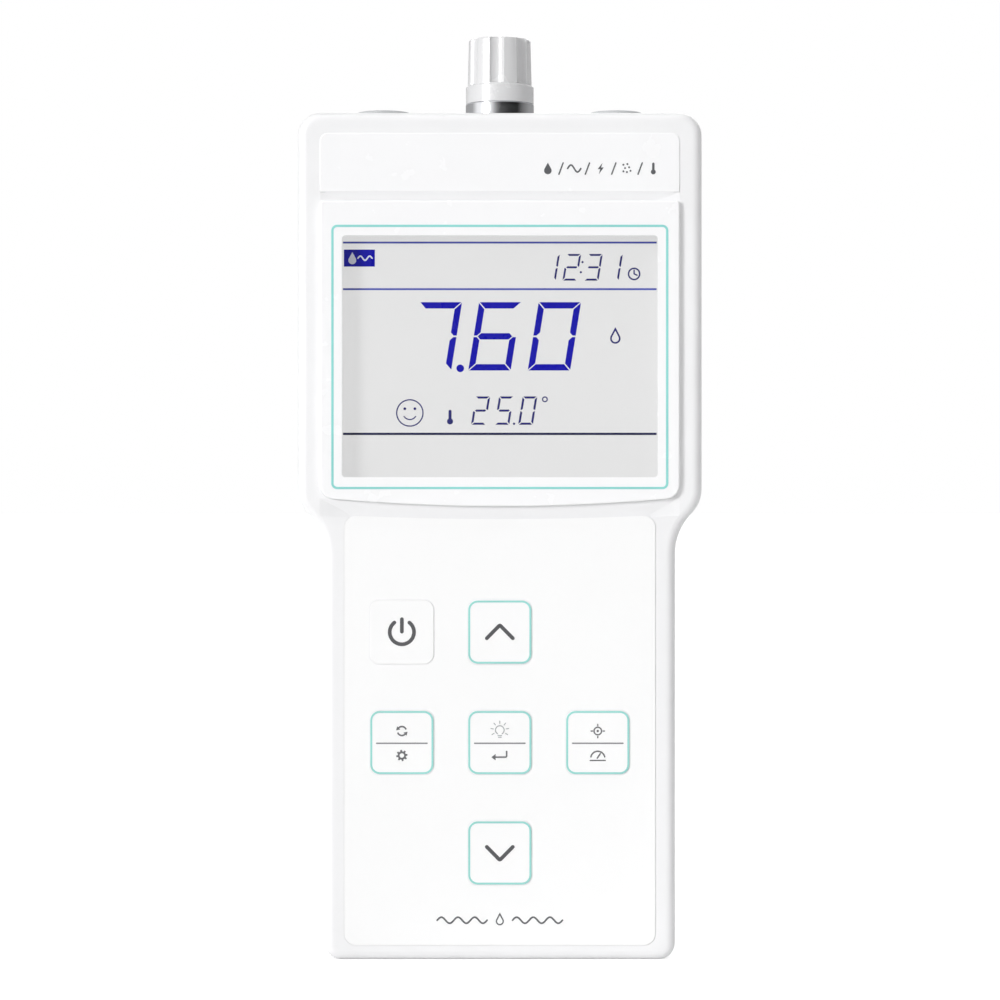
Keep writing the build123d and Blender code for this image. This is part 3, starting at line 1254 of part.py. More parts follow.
def dust_cap():
    low = RING_TOP_Z
    section = make_face(
        Polyline(
            (0, low),
            (CAP_SKIRT_R, low),
            (CAP_SKIRT_R, CAP_SKIRT_HIGH_Z),
            (CAP_FOOT_R, CAP_SKIRT_HIGH_Z + CAP_SKIRT_BEVEL),
            (CAP_TIP_R, CAP_TOP_Z),
            (0, CAP_TOP_Z),
            close=True,
        )
    )
    cap = revolve(Plane.XZ * section, axis=Axis.Z)
    cap = fillet(cap.faces().sort_by(Axis.Z)[-1].edges(), CAP_EDGE_R)
    for cutter in cap_flutes():
        cap -= cutter
    cap -= rod_z(BARREL_R + SLIDE_GAP, low - 1, LINER_TOP_Z)
    for start in (0.0, 180.0):
        for piece in bayonet_groove(start):
            cap -= piece
    return cap


def cap_liner():
    return rod_z(BARREL_R, BARREL_TOP_Z, LINER_TOP_Z)


def size_checks():
    """Sizes that must hold for the pieces to go together."""
    assert BACKLIGHT_BACK_Y < BOARD_FRONT_Y
    assert RING_TOP_Z < LUG_Z - CAP_CLIMB
    assert BAY_FLOOR_Y - BAY_WALL > BOARD_BACK_Y


NODES = {
    "front_housing": front_housing,
    "rear_housing": rear_housing,
    "housing_gasket": housing_gasket,
    "header_panel": header_panel,
    "display_bezel": display_bezel,
    "display_window": display_window,
    "keypad_overlay": keypad_overlay,
    "keypad_mat": keypad_mat,
    "tactile_switches": tactile_switches,
    "main_pcb": main_pcb,
    "pcb_screws": pcb_screws,
    "case_screws": case_screws,
    "screw_caps": screw_caps,
    "lcd_glass": lcd_glass,
    "backlight": backlight,
    "lcd_holder": lcd_holder,
    "zebra_strips": zebra_strips,
    "board_components": board_components,
    "shield_can": shield_can,
    "aa_cells": aa_cells,
    "battery_plates": battery_plates,
    "battery_springs": battery_springs,
    "battery_door": battery_door,
    "battery_door_gasket": battery_door_gasket,
    "battery_door_screws": battery_door_screws,
    "kickstand": kickstand,
    "bnc_body": bnc_body,
    "bnc_insulator": bnc_insulator,
    "bnc_contact": bnc_contact,
    "bnc_nut": bnc_nut,
    "bnc_washer": bnc_washer,
    "jack_nuts": jack_nuts,
    "probe_leads": probe_leads,
    "dust_cap": dust_cap,
    "cap_liner": cap_liner,
}

size_checks()
for node, build in NODES.items():
    export_step(build(), f"parts/{node}.step")
for node in KEYS:
    export_step(key(node), f"parts/{node}.step")
for side, x in (("left", -JACK_X), ("right", JACK_X)):
    export_step(jack(x), f"parts/{side}_jack.step")
    export_step(plug(x), f"parts/{side}_plug.step")
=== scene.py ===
import json
import math

import bmesh
import bpy
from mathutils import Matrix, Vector


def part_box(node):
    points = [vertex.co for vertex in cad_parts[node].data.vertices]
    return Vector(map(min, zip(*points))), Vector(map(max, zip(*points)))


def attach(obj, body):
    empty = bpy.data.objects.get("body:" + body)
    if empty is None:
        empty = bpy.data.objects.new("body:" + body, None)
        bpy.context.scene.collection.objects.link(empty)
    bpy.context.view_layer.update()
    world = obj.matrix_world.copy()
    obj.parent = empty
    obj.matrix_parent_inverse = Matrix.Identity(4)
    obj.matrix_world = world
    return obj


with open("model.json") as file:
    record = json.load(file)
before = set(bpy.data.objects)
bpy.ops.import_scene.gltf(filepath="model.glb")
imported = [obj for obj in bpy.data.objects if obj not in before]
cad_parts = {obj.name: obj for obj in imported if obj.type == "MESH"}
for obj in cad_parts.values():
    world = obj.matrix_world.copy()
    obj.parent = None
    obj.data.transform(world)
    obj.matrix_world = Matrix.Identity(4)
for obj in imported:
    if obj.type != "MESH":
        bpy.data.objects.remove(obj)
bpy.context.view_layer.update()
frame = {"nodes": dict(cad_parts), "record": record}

# Millimetres to metres
MM = 0.001

# Camera
IMAGE_SIZE = 1000
FOCAL_PIXELS = 3110
SENSOR = 36.0
CAMERA_Y = -676.1
CAMERA_Z = 97.76
CAMERA_SHIFT = 0.0002

# Lamps: direction from the object, strength, and how many degrees wide each one looks
LAMPS = {
    "key_light": ((-0.72, -0.65, 0.25), 2.0, 20.0),
    "top_light": ((0.0, -0.25, 0.97), 0.85, 40.0),
    "back_light": ((0.3, 0.8, 0.5), 1.0, 40.0),
}

# Brightness of the room by the angle round it, 0 at the front and 90 to the right
ROOM_STOPS = [(-180, 0.30), (-90, 0.25), (-40, 0.26), (0, 0.35), (50, 0.42), (120, 0.38),
              (180, 0.30)]
MIRROR_STOPS = [(-180, 0.36), (-105, 0.42), (-82, 1.0), (-36, 1.0), (-22, 0.55), (-10, 0.22),
                (4, 0.05), (40, 0.01), (62, 0.01), (84, 0.17), (115, 0.32), (180, 0.36)]
FLOOR_GLOW = 0.56
FLOOR_REACH = 20.0
FLOOR_DROP = 0.02

# Ink, and the faces it lies on
INK = 0.03
INK_SINK = 0.01
LCD_Y = -12.7
BEZEL_Y = -16.5
HEADER_Y = -15.6
OVERLAY_Y = -15.5
KEY_Y = -15.65

# Display frame line
FRAME_HALF_WIDTH = 35.5
FRAME_LOW_Z = 100.3
FRAME_HIGH_Z = 155.9
FRAME_CORNER_R = 1.0
FRAME_LINE = 0.5

# Seams between the panels and the housing, and round the keys
SEAM = 0.09
HEADER_HALF_WIDTH = 38.2
HEADER_LOW_Z = 163.2
HEADER_HIGH_Z = 175.7
HEADER_CORNER_R = 1.7
FACE_Y = -15.4
KEY_SEAM_IN = 0.03
KEY_SEAM_OUT = 0.22
KEY_SEAM_Y = -15.46

# Keys
KEY_SIDE = 13.6
KEY_CORNER_R = 2.1
KEY_LINE = 0.42
KEY_LINE_INSET = 0.3
KEY_COLUMN = 20.8
KEY_LOW_Z = 22.8
KEY_ROW = 23.45
KEY_PLACES = {
    "power_key": (-KEY_COLUMN, KEY_LOW_Z + 2 * KEY_ROW),
    "up_key": (0.0, KEY_LOW_Z + 2 * KEY_ROW),
    "mode_key": (-KEY_COLUMN, KEY_LOW_Z + KEY_ROW),
    "enter_key": (0.0, KEY_LOW_Z + KEY_ROW),
    "cal_key": (KEY_COLUMN, KEY_LOW_Z + KEY_ROW),
    "down_key": (0.0, KEY_LOW_Z),
}
SYMBOL_LINE = 0.79
LEGEND_LINE = 0.34
DIVIDER_WIDTH = 10.7
DIVIDER_LINE = 0.3
LEGEND_RISE = 2.45
LEGEND_DROP = 2.75

# Signs on the keys
POWER_RING_R = 2.58
POWER_RING_START = 128
POWER_RING_END = 412
POWER_STEM_LOW_Z = 0.1
POWER_STEM_HIGH_Z = 2.75
CHEVRON_HALF_WIDTH = 2.76
CHEVRON_LOW_Z = -1.3
CHEVRON_HIGH_Z = 1.5
CHEVRON_BEND_R = 0.3
DIVIDER_Z = -0.15

# Display
SCREEN_HALF_WIDTH = 33.4
SLANT = 0.16
DIGIT_GAP = 0.16
MAIN_READING = dict(text="760", places=(-19.4, -6.73, 5.94), low_z=125.34, width=9.04, height=14.55,
                    line=1.35)
CLOCK_READING = dict(text="1231", places=(8.8, 13.33, 17.92, 22.2), low_z=144.48, width=3.1,
                     height=5.67, line=0.42)
WARMTH_READING = dict(text="250", places=(-6.14, -1.12, 3.90), low_z=113.78, width=3.14,
                      height=6.04, line=0.46)
MAIN_POINT = (-8.43, 125.8)
MAIN_POINT_R = 0.82
COLON_DOTS = ((17.62, 148.42), (17.26, 146.27))
COLON_DOT_R = 0.24
WARMTH_POINT = (3.03, 114.0)
WARMTH_POINT_R = 0.26
DEGREE_PLACE = (9.6, 119.2)
DEGREE_R = 0.5
DEGREE_LINE = 0.26
THERMOMETER_PLACE = (-10.6, 115.4)
CLOCK_PLACE = (28.6, 145.9)
SIDE_MARK_SIZE = 1.25
SMILEY_PLACE = (-19.16, 116.3)
UNIT_PLACE = (24.6, 132.7)
UNIT_SIZE = 1.3
BLOCK_LEFT, BLOCK_RIGHT = -33.2, -26.6
BLOCK_LOW_Z, BLOCK_HIGH_Z = 147.46, 151.09
BLOCK_MARK_Z = 149.25
BLOCK_DROPLET_X = -31.4
BLOCK_DROPLET_SIZE = 1.05
BLOCK_WAVE_X = -28.7
TOP_RULE_Z = 152.58
MIDDLE_RULE_Z = 142.66
RULE_LINE = 0.4
LOW_RULE_Z = 111.84
LOW_RULE_LINE = 0.5

# Marks on the header and at the foot of the overlay
HEADER_MARK_X = 10.2
HEADER_MARK_Z = 168.16
HEADER_PITCH = 5.6
SLASH_LEAN = 0.45
SLASH_LOW_Z = 166.95
SLASH_HIGH_Z = 169.35
SLASH_LINE = 0.3
FOOT_DROPLET_Z = 8.7
FOOT_WAVE_X = 8.0
FOOT_WAVE_Z = 8.5

# Grain of metals: drawn along the height, or turned round it
ALONG_Z = (1.0, 1.0, 0.12)
ROUND_Z = (0.15, 0.15, 1.0)


def srgb(red, green, blue):
    """Display values 0 to 255 as linear colour."""
    def linear(value):
        value /= 255.0
        return value / 12.92 if value <= 0.04045 else ((value + 0.055) / 1.055) ** 2.4
    return linear(red), linear(green), linear(blue)


# Node helpers

def new_material(name):
    """Material with one Principled shader; returns the material, its tree and the shader."""
    material = bpy.data.materials.new(name)
    material.use_nodes = True
    tree = material.node_tree
    tree.nodes.clear()
    shader = tree.nodes.new("ShaderNodeBsdfPrincipled")
    output = tree.nodes.new("ShaderNodeOutputMaterial")
    tree.links.new(shader.outputs[0], output.inputs["Surface"])
    return material, tree, shader


def place(tree, stretch=(1.0, 1.0, 1.0)):
    """Position on the part in metres, stretched along each axis."""
    coords = tree.nodes.new("ShaderNodeTexCoord")
    mapping = tree.nodes.new("ShaderNodeMapping")
    mapping.inputs["Scale"].default_value = stretch
    tree.links.new(coords.outputs["Object"], mapping.inputs["Vector"])
    return mapping.outputs[0]


def noise(tree, cell, detail=2.0, stretch=(1.0, 1.0, 1.0)):
    """Noise whose lumps are about cell millimetres across."""
    texture = tree.nodes.new("ShaderNodeTexNoise")
    texture.inputs["Scale"].default_value = 1.0 / (cell * MM)
    texture.inputs["Detail"].default_value = detail
    tree.links.new(place(tree, stretch), texture.inputs["Vector"])
    return texture.outputs[0]


def ramp(tree, source, stops):
    """Colour ramp from (position, colour) stops."""
    node = tree.nodes.new("ShaderNodeValToRGB")
    elements = node.color_ramp.elements
    while len(elements) < len(stops):
        elements.new(0.5)
    for element, (position, colour) in zip(elements, stops):
        element.position = position
        element.color = (*colour, 1.0)
    tree.links.new(source, node.inputs[0])
    return node.outputs[0]


def mapped(tree, source, low, high):
    """Noise mapped to a range of values."""
    node = tree.nodes.new("ShaderNodeMapRange")
    node.inputs["From Min"].default_value = 0.3
    node.inputs["From Max"].default_value = 0.7
    node.inputs["To Min"].default_value = low
    node.inputs["To Max"].default_value = high
    tree.links.new(source, node.inputs["Value"])
    return node.outputs[0]


def math_node(tree, operation, first, second):
    node = tree.nodes.new("ShaderNodeMath")
    node.operation = operation
    for value, socket in zip((first, second), node.inputs):
        if isinstance(value, (int, float)):
            socket.default_value = value
        else:
            tree.links.new(value, socket)
    return node.outputs[0]


def bump(tree, shader, height, depth):
    node = tree.nodes.new("ShaderNodeBump")
    node.inputs["Strength"].default_value = 1.0
    node.inputs["Distance"].default_value = depth * MM
    tree.links.new(height, node.inputs["Height"])
    tree.links.new(node.outputs[0], shader.inputs["Normal"])


def surface(name, colour, rough, grain=0.4, depth=0.004, shade=0.97, vary=0.08,
            stretch=(1.0, 1.0, 1.0), **sockets):
    """Solid material: soft colour drift, uneven gloss and a fine grain in its surface."""
    material, tree, shader = new_material(name)
    darker = tuple(shade * c for c in colour)
    drift = ramp(tree, noise(tree, 22.0), [(0.35, darker), (0.65, colour)])
    tree.links.new(drift, shader.inputs["Base Color"])
    gloss = mapped(tree, noise(tree, 5.0, 3.0, stretch), rough - vary, rough + vary)
    tree.links.new(gloss, shader.inputs["Roughness"])
    bump(tree, shader, noise(tree, grain, 2.0, stretch), depth)
    for key, value in sockets.items():
        shader.inputs[key.replace("_", " ")].default_value = value
    return material


def clear_pane():
    """Window glass that lets the lamps through to the display."""
    material, tree, shader = new_material("clear_pane")
    shader.inputs["Base Color"].default_value = (0.985, 0.985, 0.985, 1.0)
    shader.inputs["Transmission Weight"].default_value = 1.0
    shader.inputs["IOR"].default_value = 1.49
    shader.inputs["Specular IOR Level"].default_value = 0.1
    tree.links.new(mapped(tree, noise(tree, 6.0, 3.0), 0.0, 0.04), shader.inputs["Roughness"])
    passing = tree.nodes.new("ShaderNodeBsdfTransparent")
    path = tree.nodes.new("ShaderNodeLightPath")
    mix = tree.nodes.new("ShaderNodeMixShader")
    lit = math_node(tree, "MAXIMUM", path.outputs["Is Shadow Ray"], path.outputs["Is Diffuse Ray"])
    lit = math_node(tree, "MAXIMUM", lit, path.outputs["Is Glossy Ray"])
    tree.links.new(lit, mix.inputs[0])
    tree.links.new(shader.outputs[0], mix.inputs[1])
    tree.links.new(passing.outputs[0], mix.inputs[2])
    output = next(n for n in tree.nodes if n.type == "OUTPUT_MATERIAL")
    tree.links.new(mix.outputs[0], output.inputs["Surface"])
    return material


def board_green():
    """Solder mask with faint tracks under it and a fine woven base."""
    material, tree, shader = new_material("board_green")
    tracks = tree.nodes.new("ShaderNodeTexBrick")
    tracks.inputs["Color1"].default_value = (0.012, 0.16, 0.07, 1.0)
    tracks.inputs["Color2"].default_value = (0.010, 0.13, 0.06, 1.0)
    tracks.inputs["Mortar"].default_value = (0.03, 0.26, 0.12, 1.0)
    tracks.inputs["Scale"].default_value = 180.0
    tracks.inputs["Mortar Size"].default_value = 0.03
    turned = tree.nodes.new("ShaderNodeMapping")
    turned.inputs["Rotation"].default_value = (math.radians(90), 0.0, 0.0)
    tree.links.new(place(tree), turned.inputs["Vector"])
    tree.links.new(turned.outputs[0], tracks.inputs["Vector"])
    tree.links.new(tracks.outputs["Color"], shader.inputs["Base Color"])
    tree.links.new(mapped(tree, noise(tree, 3.0), 0.28, 0.4), shader.inputs["Roughness"])
    bump(tree, shader, tracks.outputs["Fac"], 0.01)
    return material


def cell_wrap():
    """Printed sleeve with a pale band near each end and bare steel past it."""
    material, tree, shader = new_material("cell_wrap")
    low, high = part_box("aa_cells")
    axes = tree.nodes.new("ShaderNodeSeparateXYZ")
    tree.links.new(place(tree), axes.inputs[0])
    middle = (low.z + high.z) / 2
    off = math_node(tree, "ABSOLUTE", math_node(tree, "SUBTRACT", axes.outputs["Z"], middle), 0.0)
    along = math_node(tree, "DIVIDE", off, (high.z - low.z) / 2)
    slate, pale, steel = srgb(58, 66, 80), srgb(196, 202, 205), srgb(176, 178, 180)
    colours = ramp(tree, along, [(0.0, slate), (0.66, pale), (0.72, slate), (0.9, steel)])
    colours.node.color_ramp.interpolation = "CONSTANT"
    tree.links.new(colours, shader.inputs["Base Color"])
    bare = math_node(tree, "GREATER_THAN", along, 0.9)
    tree.links.new(bare, shader.inputs["Metallic"])
    tree.links.new(mapped(tree, noise(tree, 2.0), 0.24, 0.34), shader.inputs["Roughness"])
    bump(tree, shader, noise(tree, 0.8), 0.004)
    return material


def metal(name, colour, rough, grain, depth, stretch):
    """Metal with fine lines along its working direction."""
    return surface(name, colour, rough, grain, depth, shade=0.93, vary=0.06, stretch=stretch,
                   Metallic=1.0)


def slot_materials():
    """One material for each slot of the record."""
    white = srgb(244, 244, 245)
    rubber = dict(Sheen_Weight=0.15, Sheen_Roughness=0.5)
    return {
        "shell_white": surface("shell_white", white, 0.42, grain=0.35, depth=0.006, shade=0.985),
        "panel_white": surface("panel_white", srgb(252, 252, 253), 0.24, grain=1.6, depth=0.002,
                               shade=0.99, vary=0.04),
        "sheet_white": surface("sheet_white", srgb(252, 252, 252), 0.36, grain=0.22, depth=0.003,
                               shade=0.99),
        "key_white": surface("key_white", srgb(252, 252, 252), 0.38, grain=0.22, depth=0.003,
                             shade=0.99),
        "cap_white": surface("cap_white", srgb(222, 222, 223), 0.24, grain=0.9, depth=0.004,
                             shade=0.98, vary=0.05, Specular_IOR_Level=0.8),
        "clear_pane": clear_pane(),
        # The display glows evenly: painted light that washes out the shade its sunken window casts
        # on it, with no lamp behind it
        "display_grey": surface("display_grey", srgb(137, 137, 137), 0.4, grain=0.3, depth=0.001,
                                shade=0.97, Specular_IOR_Level=0.1,
                                Emission_Color=(1.0, 1.0, 1.0, 1.0), Emission_Strength=0.56),
        "diffuser_white": surface("diffuser_white", srgb(236, 240, 242), 0.5, grain=0.6, depth=0.01),
        "silicone_grey": surface("silicone_grey", srgb(196, 198, 200), 0.62, grain=0.5, depth=0.01,
                                 shade=0.93, **rubber),
        "seal_black": surface("seal_black", srgb(34, 34, 35), 0.66, grain=0.4, depth=0.01,
                              shade=0.8, **rubber),
        "contact_rubber": surface("contact_rubber", srgb(226, 150, 160), 0.6, grain=0.3, depth=0.01,
                                  shade=0.9, **rubber),
        "chrome_ring": metal("chrome_ring", srgb(236, 237, 240), 0.1, 0.3, 0.001, ROUND_Z),
        "gold_contact": metal("gold_contact", srgb(240, 200, 120), 0.2, 0.3, 0.002, ROUND_Z),
        "insulator_white": surface("insulator_white", srgb(240, 239, 232), 0.5, grain=0.6,
                                   depth=0.006, shade=0.96, Sheen_Weight=0.1),
        "board_green": board_green(),
        "chip_black": surface("chip_black", srgb(44, 44, 46), 0.5, grain=0.25, depth=0.008,
                              shade=0.85),
        "tin_steel": metal("tin_steel", srgb(200, 202, 204), 0.3, 0.25, 0.003, ALONG_Z),
        "screw_steel": metal("screw_steel", srgb(190, 191, 195), 0.3, 0.3, 0.004, ROUND_Z),
        "cell_wrap": cell_wrap(),
        "lead_red": surface("lead_red", srgb(176, 40, 32), 0.38, grain=0.5, depth=0.004, shade=0.9),
    }


def ink(name, colour, rough=0.42):
    return surface(name, colour, rough, grain=0.15, depth=0.002, shade=0.92,
                   Specular_IOR_Level=0.25)


def dress_nodes():
    """Gives every node the material of its slot."""
    materials = slot_materials()
    for part in frame["record"]["subparts"]:
        for holder in frame["nodes"][part["node"]].material_slots:
            holder.material = materials[part["material_slot"]]


# Flat drawing, in millimetres in the front view

def arc(x, z, radius, start, end, steps=24):
    """Points on an arc, its angles in degrees, counter-clockwise from the right."""
    angles = [math.radians(start + (end - start) * i / steps) for i in range(steps + 1)]
    return [(x + radius * math.cos(a), z + radius * math.sin(a)) for a in angles]


def disc(x, z, radius, steps=20):
    return [arc(x, z, radius, 0, 360, steps)[:-1]]


def rounded_box(x, z, half_width, half_height, radius, steps=8):
    """Closed outline of a box with round corners."""
    corners = [(1, 1, 0), (-1, 1, 90), (-1, -1, 180), (1, -1, 270)]
    points = []
    for side, level, start in corners:
        cx = x + side * (half_width - radius)
        cz = z + level * (half_height - radius)
        points += arc(cx, cz, radius, start, start + 90, steps)
    return points


def unit(start, end):
    dx, dz = end[0] - start[0], end[1] - start[1]
    length = math.hypot(dx, dz)
    return dx / length, dz / length


def mitre(before, point, after):
    """Sideways vector at a point of a line, longer at a bend so that both runs keep their width."""
    runs = []
    if before is not None:
        runs.append(unit(before, point))
    if after is not None:
        runs.append(unit(point, after))
    nx = -sum(run[1] for run in runs) / len(runs)
    nz = sum(run[0] for run in runs) / len(runs)
    scale = 1.0 / (nx * nx + nz * nz)
    return nx * scale, nz * scale


def half_disc(centre, start, end, steps=8):
    """Round end of a line, counter-clockwise from one of its corners to the other."""
    angle = math.degrees(math.atan2(start[1] - centre[1], start[0] - centre[0]))
    radius = math.dist(centre, start)
    return [start] + arc(*centre, radius, angle, angle + 180, steps)[1:-1] + [end]


def stroke(points, width, closed=False, ends=True):
    """Faces of a line of this width, with round ends unless it is closed."""
    last = len(points) - 1
    sides = []
    for i, point in enumerate(points):
        before = points[i - 1] if closed or i > 0 else None
        after = points[(i + 1) % len(points)] if closed or i < last else None
        nx, nz = mitre(before, point, after)
        nx, nz = nx * width / 2, nz * width / 2
        sides.append(((point[0] + nx, point[1] + nz), (point[0] - nx, point[1] - nz)))
    following = sides[1:] + sides[:1] if closed else sides[1:]
    faces = [[a[0], a[1], b[1], b[0]] for a, b in zip(sides, following)]
    if ends and not closed:
        faces.append(half_disc(points[0], sides[0][0], sides[0][1]))
        faces.append(half_disc(points[-1], sides[-1][1], sides[-1][0]))
    return faces


def bend(points, radius, steps=6):
    """The same line with its inner corners rounded."""
    rounded = [points[0]]
    for before, corner, after in zip(points, points[1:], points[2:]):
        back, on = unit(corner, before), unit(corner, after)
        start = (corner[0] + radius * back[0], corner[1] + radius * back[1])
        end = (corner[0] + radius * on[0], corner[1] + radius * on[1])
        for i in range(steps + 1):
            t = i / steps
            weights = ((1 - t) ** 2, 2 * t * (1 - t), t * t)
            rounded.append(tuple(sum(w * p[k] for w, p in zip(weights, (start, corner, end)))
                                 for k in (0, 1)))
    return rounded + [points[-1]]


def band(outer, inner):
    """Ring between two closed outlines with the same number of points."""
    count = len(outer)
    return [[outer[i], outer[(i + 1) % count], inner[(i + 1) % count], inner[i]]
            for i in range(count)]


def shifted(faces, x, z, size=1.0):
    return [[(x + size * px, z + size * pz) for px, pz in face] for face in faces]


def pressed(name, faces, surface_y, body, material):
    """Print of the given front-view faces on a surface that faces the front."""
    mesh = bpy.data.meshes.new(name)
    builder = bmesh.new()
    found = {}
    for face in faces:
        corners = []
        for x, z in face:
            key = (round(x, 5), round(z, 5))
            if key not in found:
                found[key] = builder.verts.new((x * MM, (surface_y - INK) * MM, z * MM))
            corners.append(found[key])
        builder.faces.new(corners)
    grown = bmesh.ops.extrude_face_region(builder, geom=builder.faces[:])
    moved = [item for item in grown["geom"] if isinstance(item, bmesh.types.BMVert)]
    bmesh.ops.translate(builder, verts=moved, vec=(0, (INK + INK_SINK) * MM, 0))
    bmesh.ops.recalc_face_normals(builder, faces=builder.faces[:])
    builder.to_mesh(mesh)
    builder.free()
    piece = bpy.data.objects.new(name, mesh)
    bpy.context.scene.collection.objects.link(piece)
    mesh.materials.append(material)
    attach(piece, body)
    return piece


# Pictograms, each about 2.4 mm tall round the origin

def droplet_outline(radius=0.8, tip=1.25, drop=0.42):
    reach = math.degrees(math.acos(radius / (tip + drop)))
    return [(0.0, tip)] + arc(0.0, -drop, radius, 90 + reach, 450 - reach, 28)


def droplet():
    return [droplet_outline()]


def droplet_line():
    return stroke(droplet_outline(0.72, 1.15), 0.28, closed=True)


def sine(width, height, waves, line):
    steps = int(24 * waves)
    points = []
    for i in range(steps + 1):
        t = i / steps
        points.append((width * (t - 0.5), height / 2 * math.sin(2 * math.pi * waves * t)))
    return stroke(points, line)


def bolt():
    return [[(0.4, 1.2), (-0.62, -0.12), (-0.08, -0.12), (-0.36, -1.2), (0.66, 0.22), (0.12, 0.22)]]


def dots():
    places = [(-0.75, -0.6), (0.0, -0.75), (0.75, -0.5), (-0.4, 0.1), (0.45, 0.25), (-0.75, 0.8),
              (0.1, 0.95)]
    return [face for x, z in places for face in disc(x, z, 0.21, 12)]


def thermometer():
    """Stem with a round bulb, as one outline."""
    stem, bulb, low, high = 0.26, 0.52, -0.72, 1.0
    meet = math.degrees(math.acos(stem / bulb))
    foot = arc(0.0, low, bulb, 180 - meet, 360 + meet, 22)
    return [foot + arc(0.0, high, stem, 0, 180, 10)]


def gear():
    outer, inner = [], []
    teeth, steps = 8, 8
    for i in range(teeth * steps):
        angle = 2 * math.pi * i / (teeth * steps)
        radius = 1.2 if i % steps in (0, 1, 2, 3) else 0.88
        outer.append((radius * math.cos(angle), radius * math.sin(angle)))
        inner.append((0.48 * math.cos(angle), 0.48 * math.sin(angle)))
    return band(outer, inner)


def arrow_head(x, z, angle, length, width):
    """Triangle whose base is centred on the point and which points along angle."""
    a = math.radians(angle)
    ux, uz = math.cos(a), math.sin(a)
    return [[(x - uz * width / 2, z + ux * width / 2), (x + uz * width / 2, z - ux * width / 2),
             (x + ux * length, z + uz * length)]]


def cycle():
    """Two arrows that follow each other round a circle."""
    faces = []
    for turn in (0, 180):
        line = arc(0.0, 0.0, 0.95, turn + 20, turn + 135, 16)
        faces += stroke(line, LEGEND_LINE, ends=False)
        faces += arrow_head(*line[-1], turn + 135 + 90, 0.75, 0.95)
    return faces


def bulb():
    faces = stroke(arc(0.0, 0.2, 0.92, -58, 238, 26), 0.22)
    for z, width in ((-0.98, 0.8), (-1.32, 0.6)):
        faces += stroke([(-width / 2, z), (width / 2, z)], 0.2)
    for angle in range(-30, 211, 40):
        a = math.radians(angle)
        ray = [(r * math.cos(a), 0.2 + r * math.sin(a)) for r in (1.42, 1.92)]
        faces += stroke(ray, 0.2)
    return faces


def return_arrow():
    line = bend([(1.45, 1.0), (1.45, -0.35), (-0.9, -0.35)], 0.35)
    return stroke(line, LEGEND_LINE, ends=False) + arrow_head(-0.9, -0.35, 180, 0.9, 1.35)


def target():
    faces = stroke(arc(0.0, 0.0, 0.8, 0, 360, 36)[:-1], 0.28, closed=True) + disc(0.0, 0.0, 0.24)
    for angle in range(0, 360, 90):
        a = math.radians(angle)
        faces += stroke([(r * math.cos(a), r * math.sin(a)) for r in (1.12, 1.42)], 0.28)
    return faces


def gauge():
    """Half dial with a needle and its base line."""
    faces = stroke(arc(0.0, -0.6, 1.5, 12, 168, 30), 0.3)
    faces += stroke([(-0.1, -0.55), (0.55, 0.42)], 0.3)
    return faces + stroke([(-1.6, -1.05), (1.6, -1.05)], 0.26)


def clock():
    faces = stroke(arc(0.0, 0.0, 0.95, 0, 360, 36)[:-1], 0.26, closed=True)
    return faces + stroke(bend([(0.0, 0.62), (0.0, 0.0), (0.5, -0.22)], 0.08), 0.24)


def smiley(x, z):
    faces = stroke(arc(x, z, 2.8, 0, 360, 60)[:-1], 0.27, closed=True)
    for side in (-1, 1):
        faces += disc(x + side * 1.07, z + 0.9, 0.3, 14)
    return faces + stroke(arc(x, z + 0.1, 1.5, 215, 325, 18), 0.25)


# Seven-segment digits

SEGMENTS = {"0": "abcdef", "1": "bc", "2": "abged", "3": "abgcd", "5": "afgcd", "6": "afgedc",
            "7": "abc"}


def segment_shapes(width, height, line, gap):
    """Outlines of the seven bars of an upright digit, mitred where they meet."""
    mid, core = height / 2, line / 2
    right, top = width - line, height - line
    left_high = [(0, height - gap), (line, top - gap), (line, mid + core + gap), (core, mid + gap),
                 (0, mid + gap)]
    left_low = [(x, height - z) for x, z in reversed(left_high)]
    return {
        "a": [(gap, height), (line + gap, top), (right - gap, top), (width - gap, height)],
        "d": [(gap, 0), (width - gap, 0), (right - gap, line), (line + gap, line)],
        "g": [(core + gap, mid), (line + gap, mid - core), (right - gap, mid - core),
              (width - core - gap, mid), (right - gap, mid + core), (line + gap, mid + core)],
        "f": left_high,
        "e": left_low,
        "b": [(width - x, z) for x, z in reversed(left_high)],
        "c": [(width - x, z) for x, z in reversed(left_low)],
    }


def digits(text, places, low_z, width, height, line):
    """Slanted digits, each with its lower left corner at its place."""
    shapes = segment_shapes(width, height, line, DIGIT_GAP)
    faces = []
    for character, x in zip(text, places):
        for bar in SEGMENTS[character]:
            faces.append([(x + px + SLANT * pz, low_z + pz) for px, pz in shapes[bar]])
    return faces


def level_line(z, thick):
    half = SCREEN_HALF_WIDTH
    return [[(-half, z - thick / 2), (half, z - thick / 2), (half, z + thick / 2),
             (-half, z + thick / 2)]]


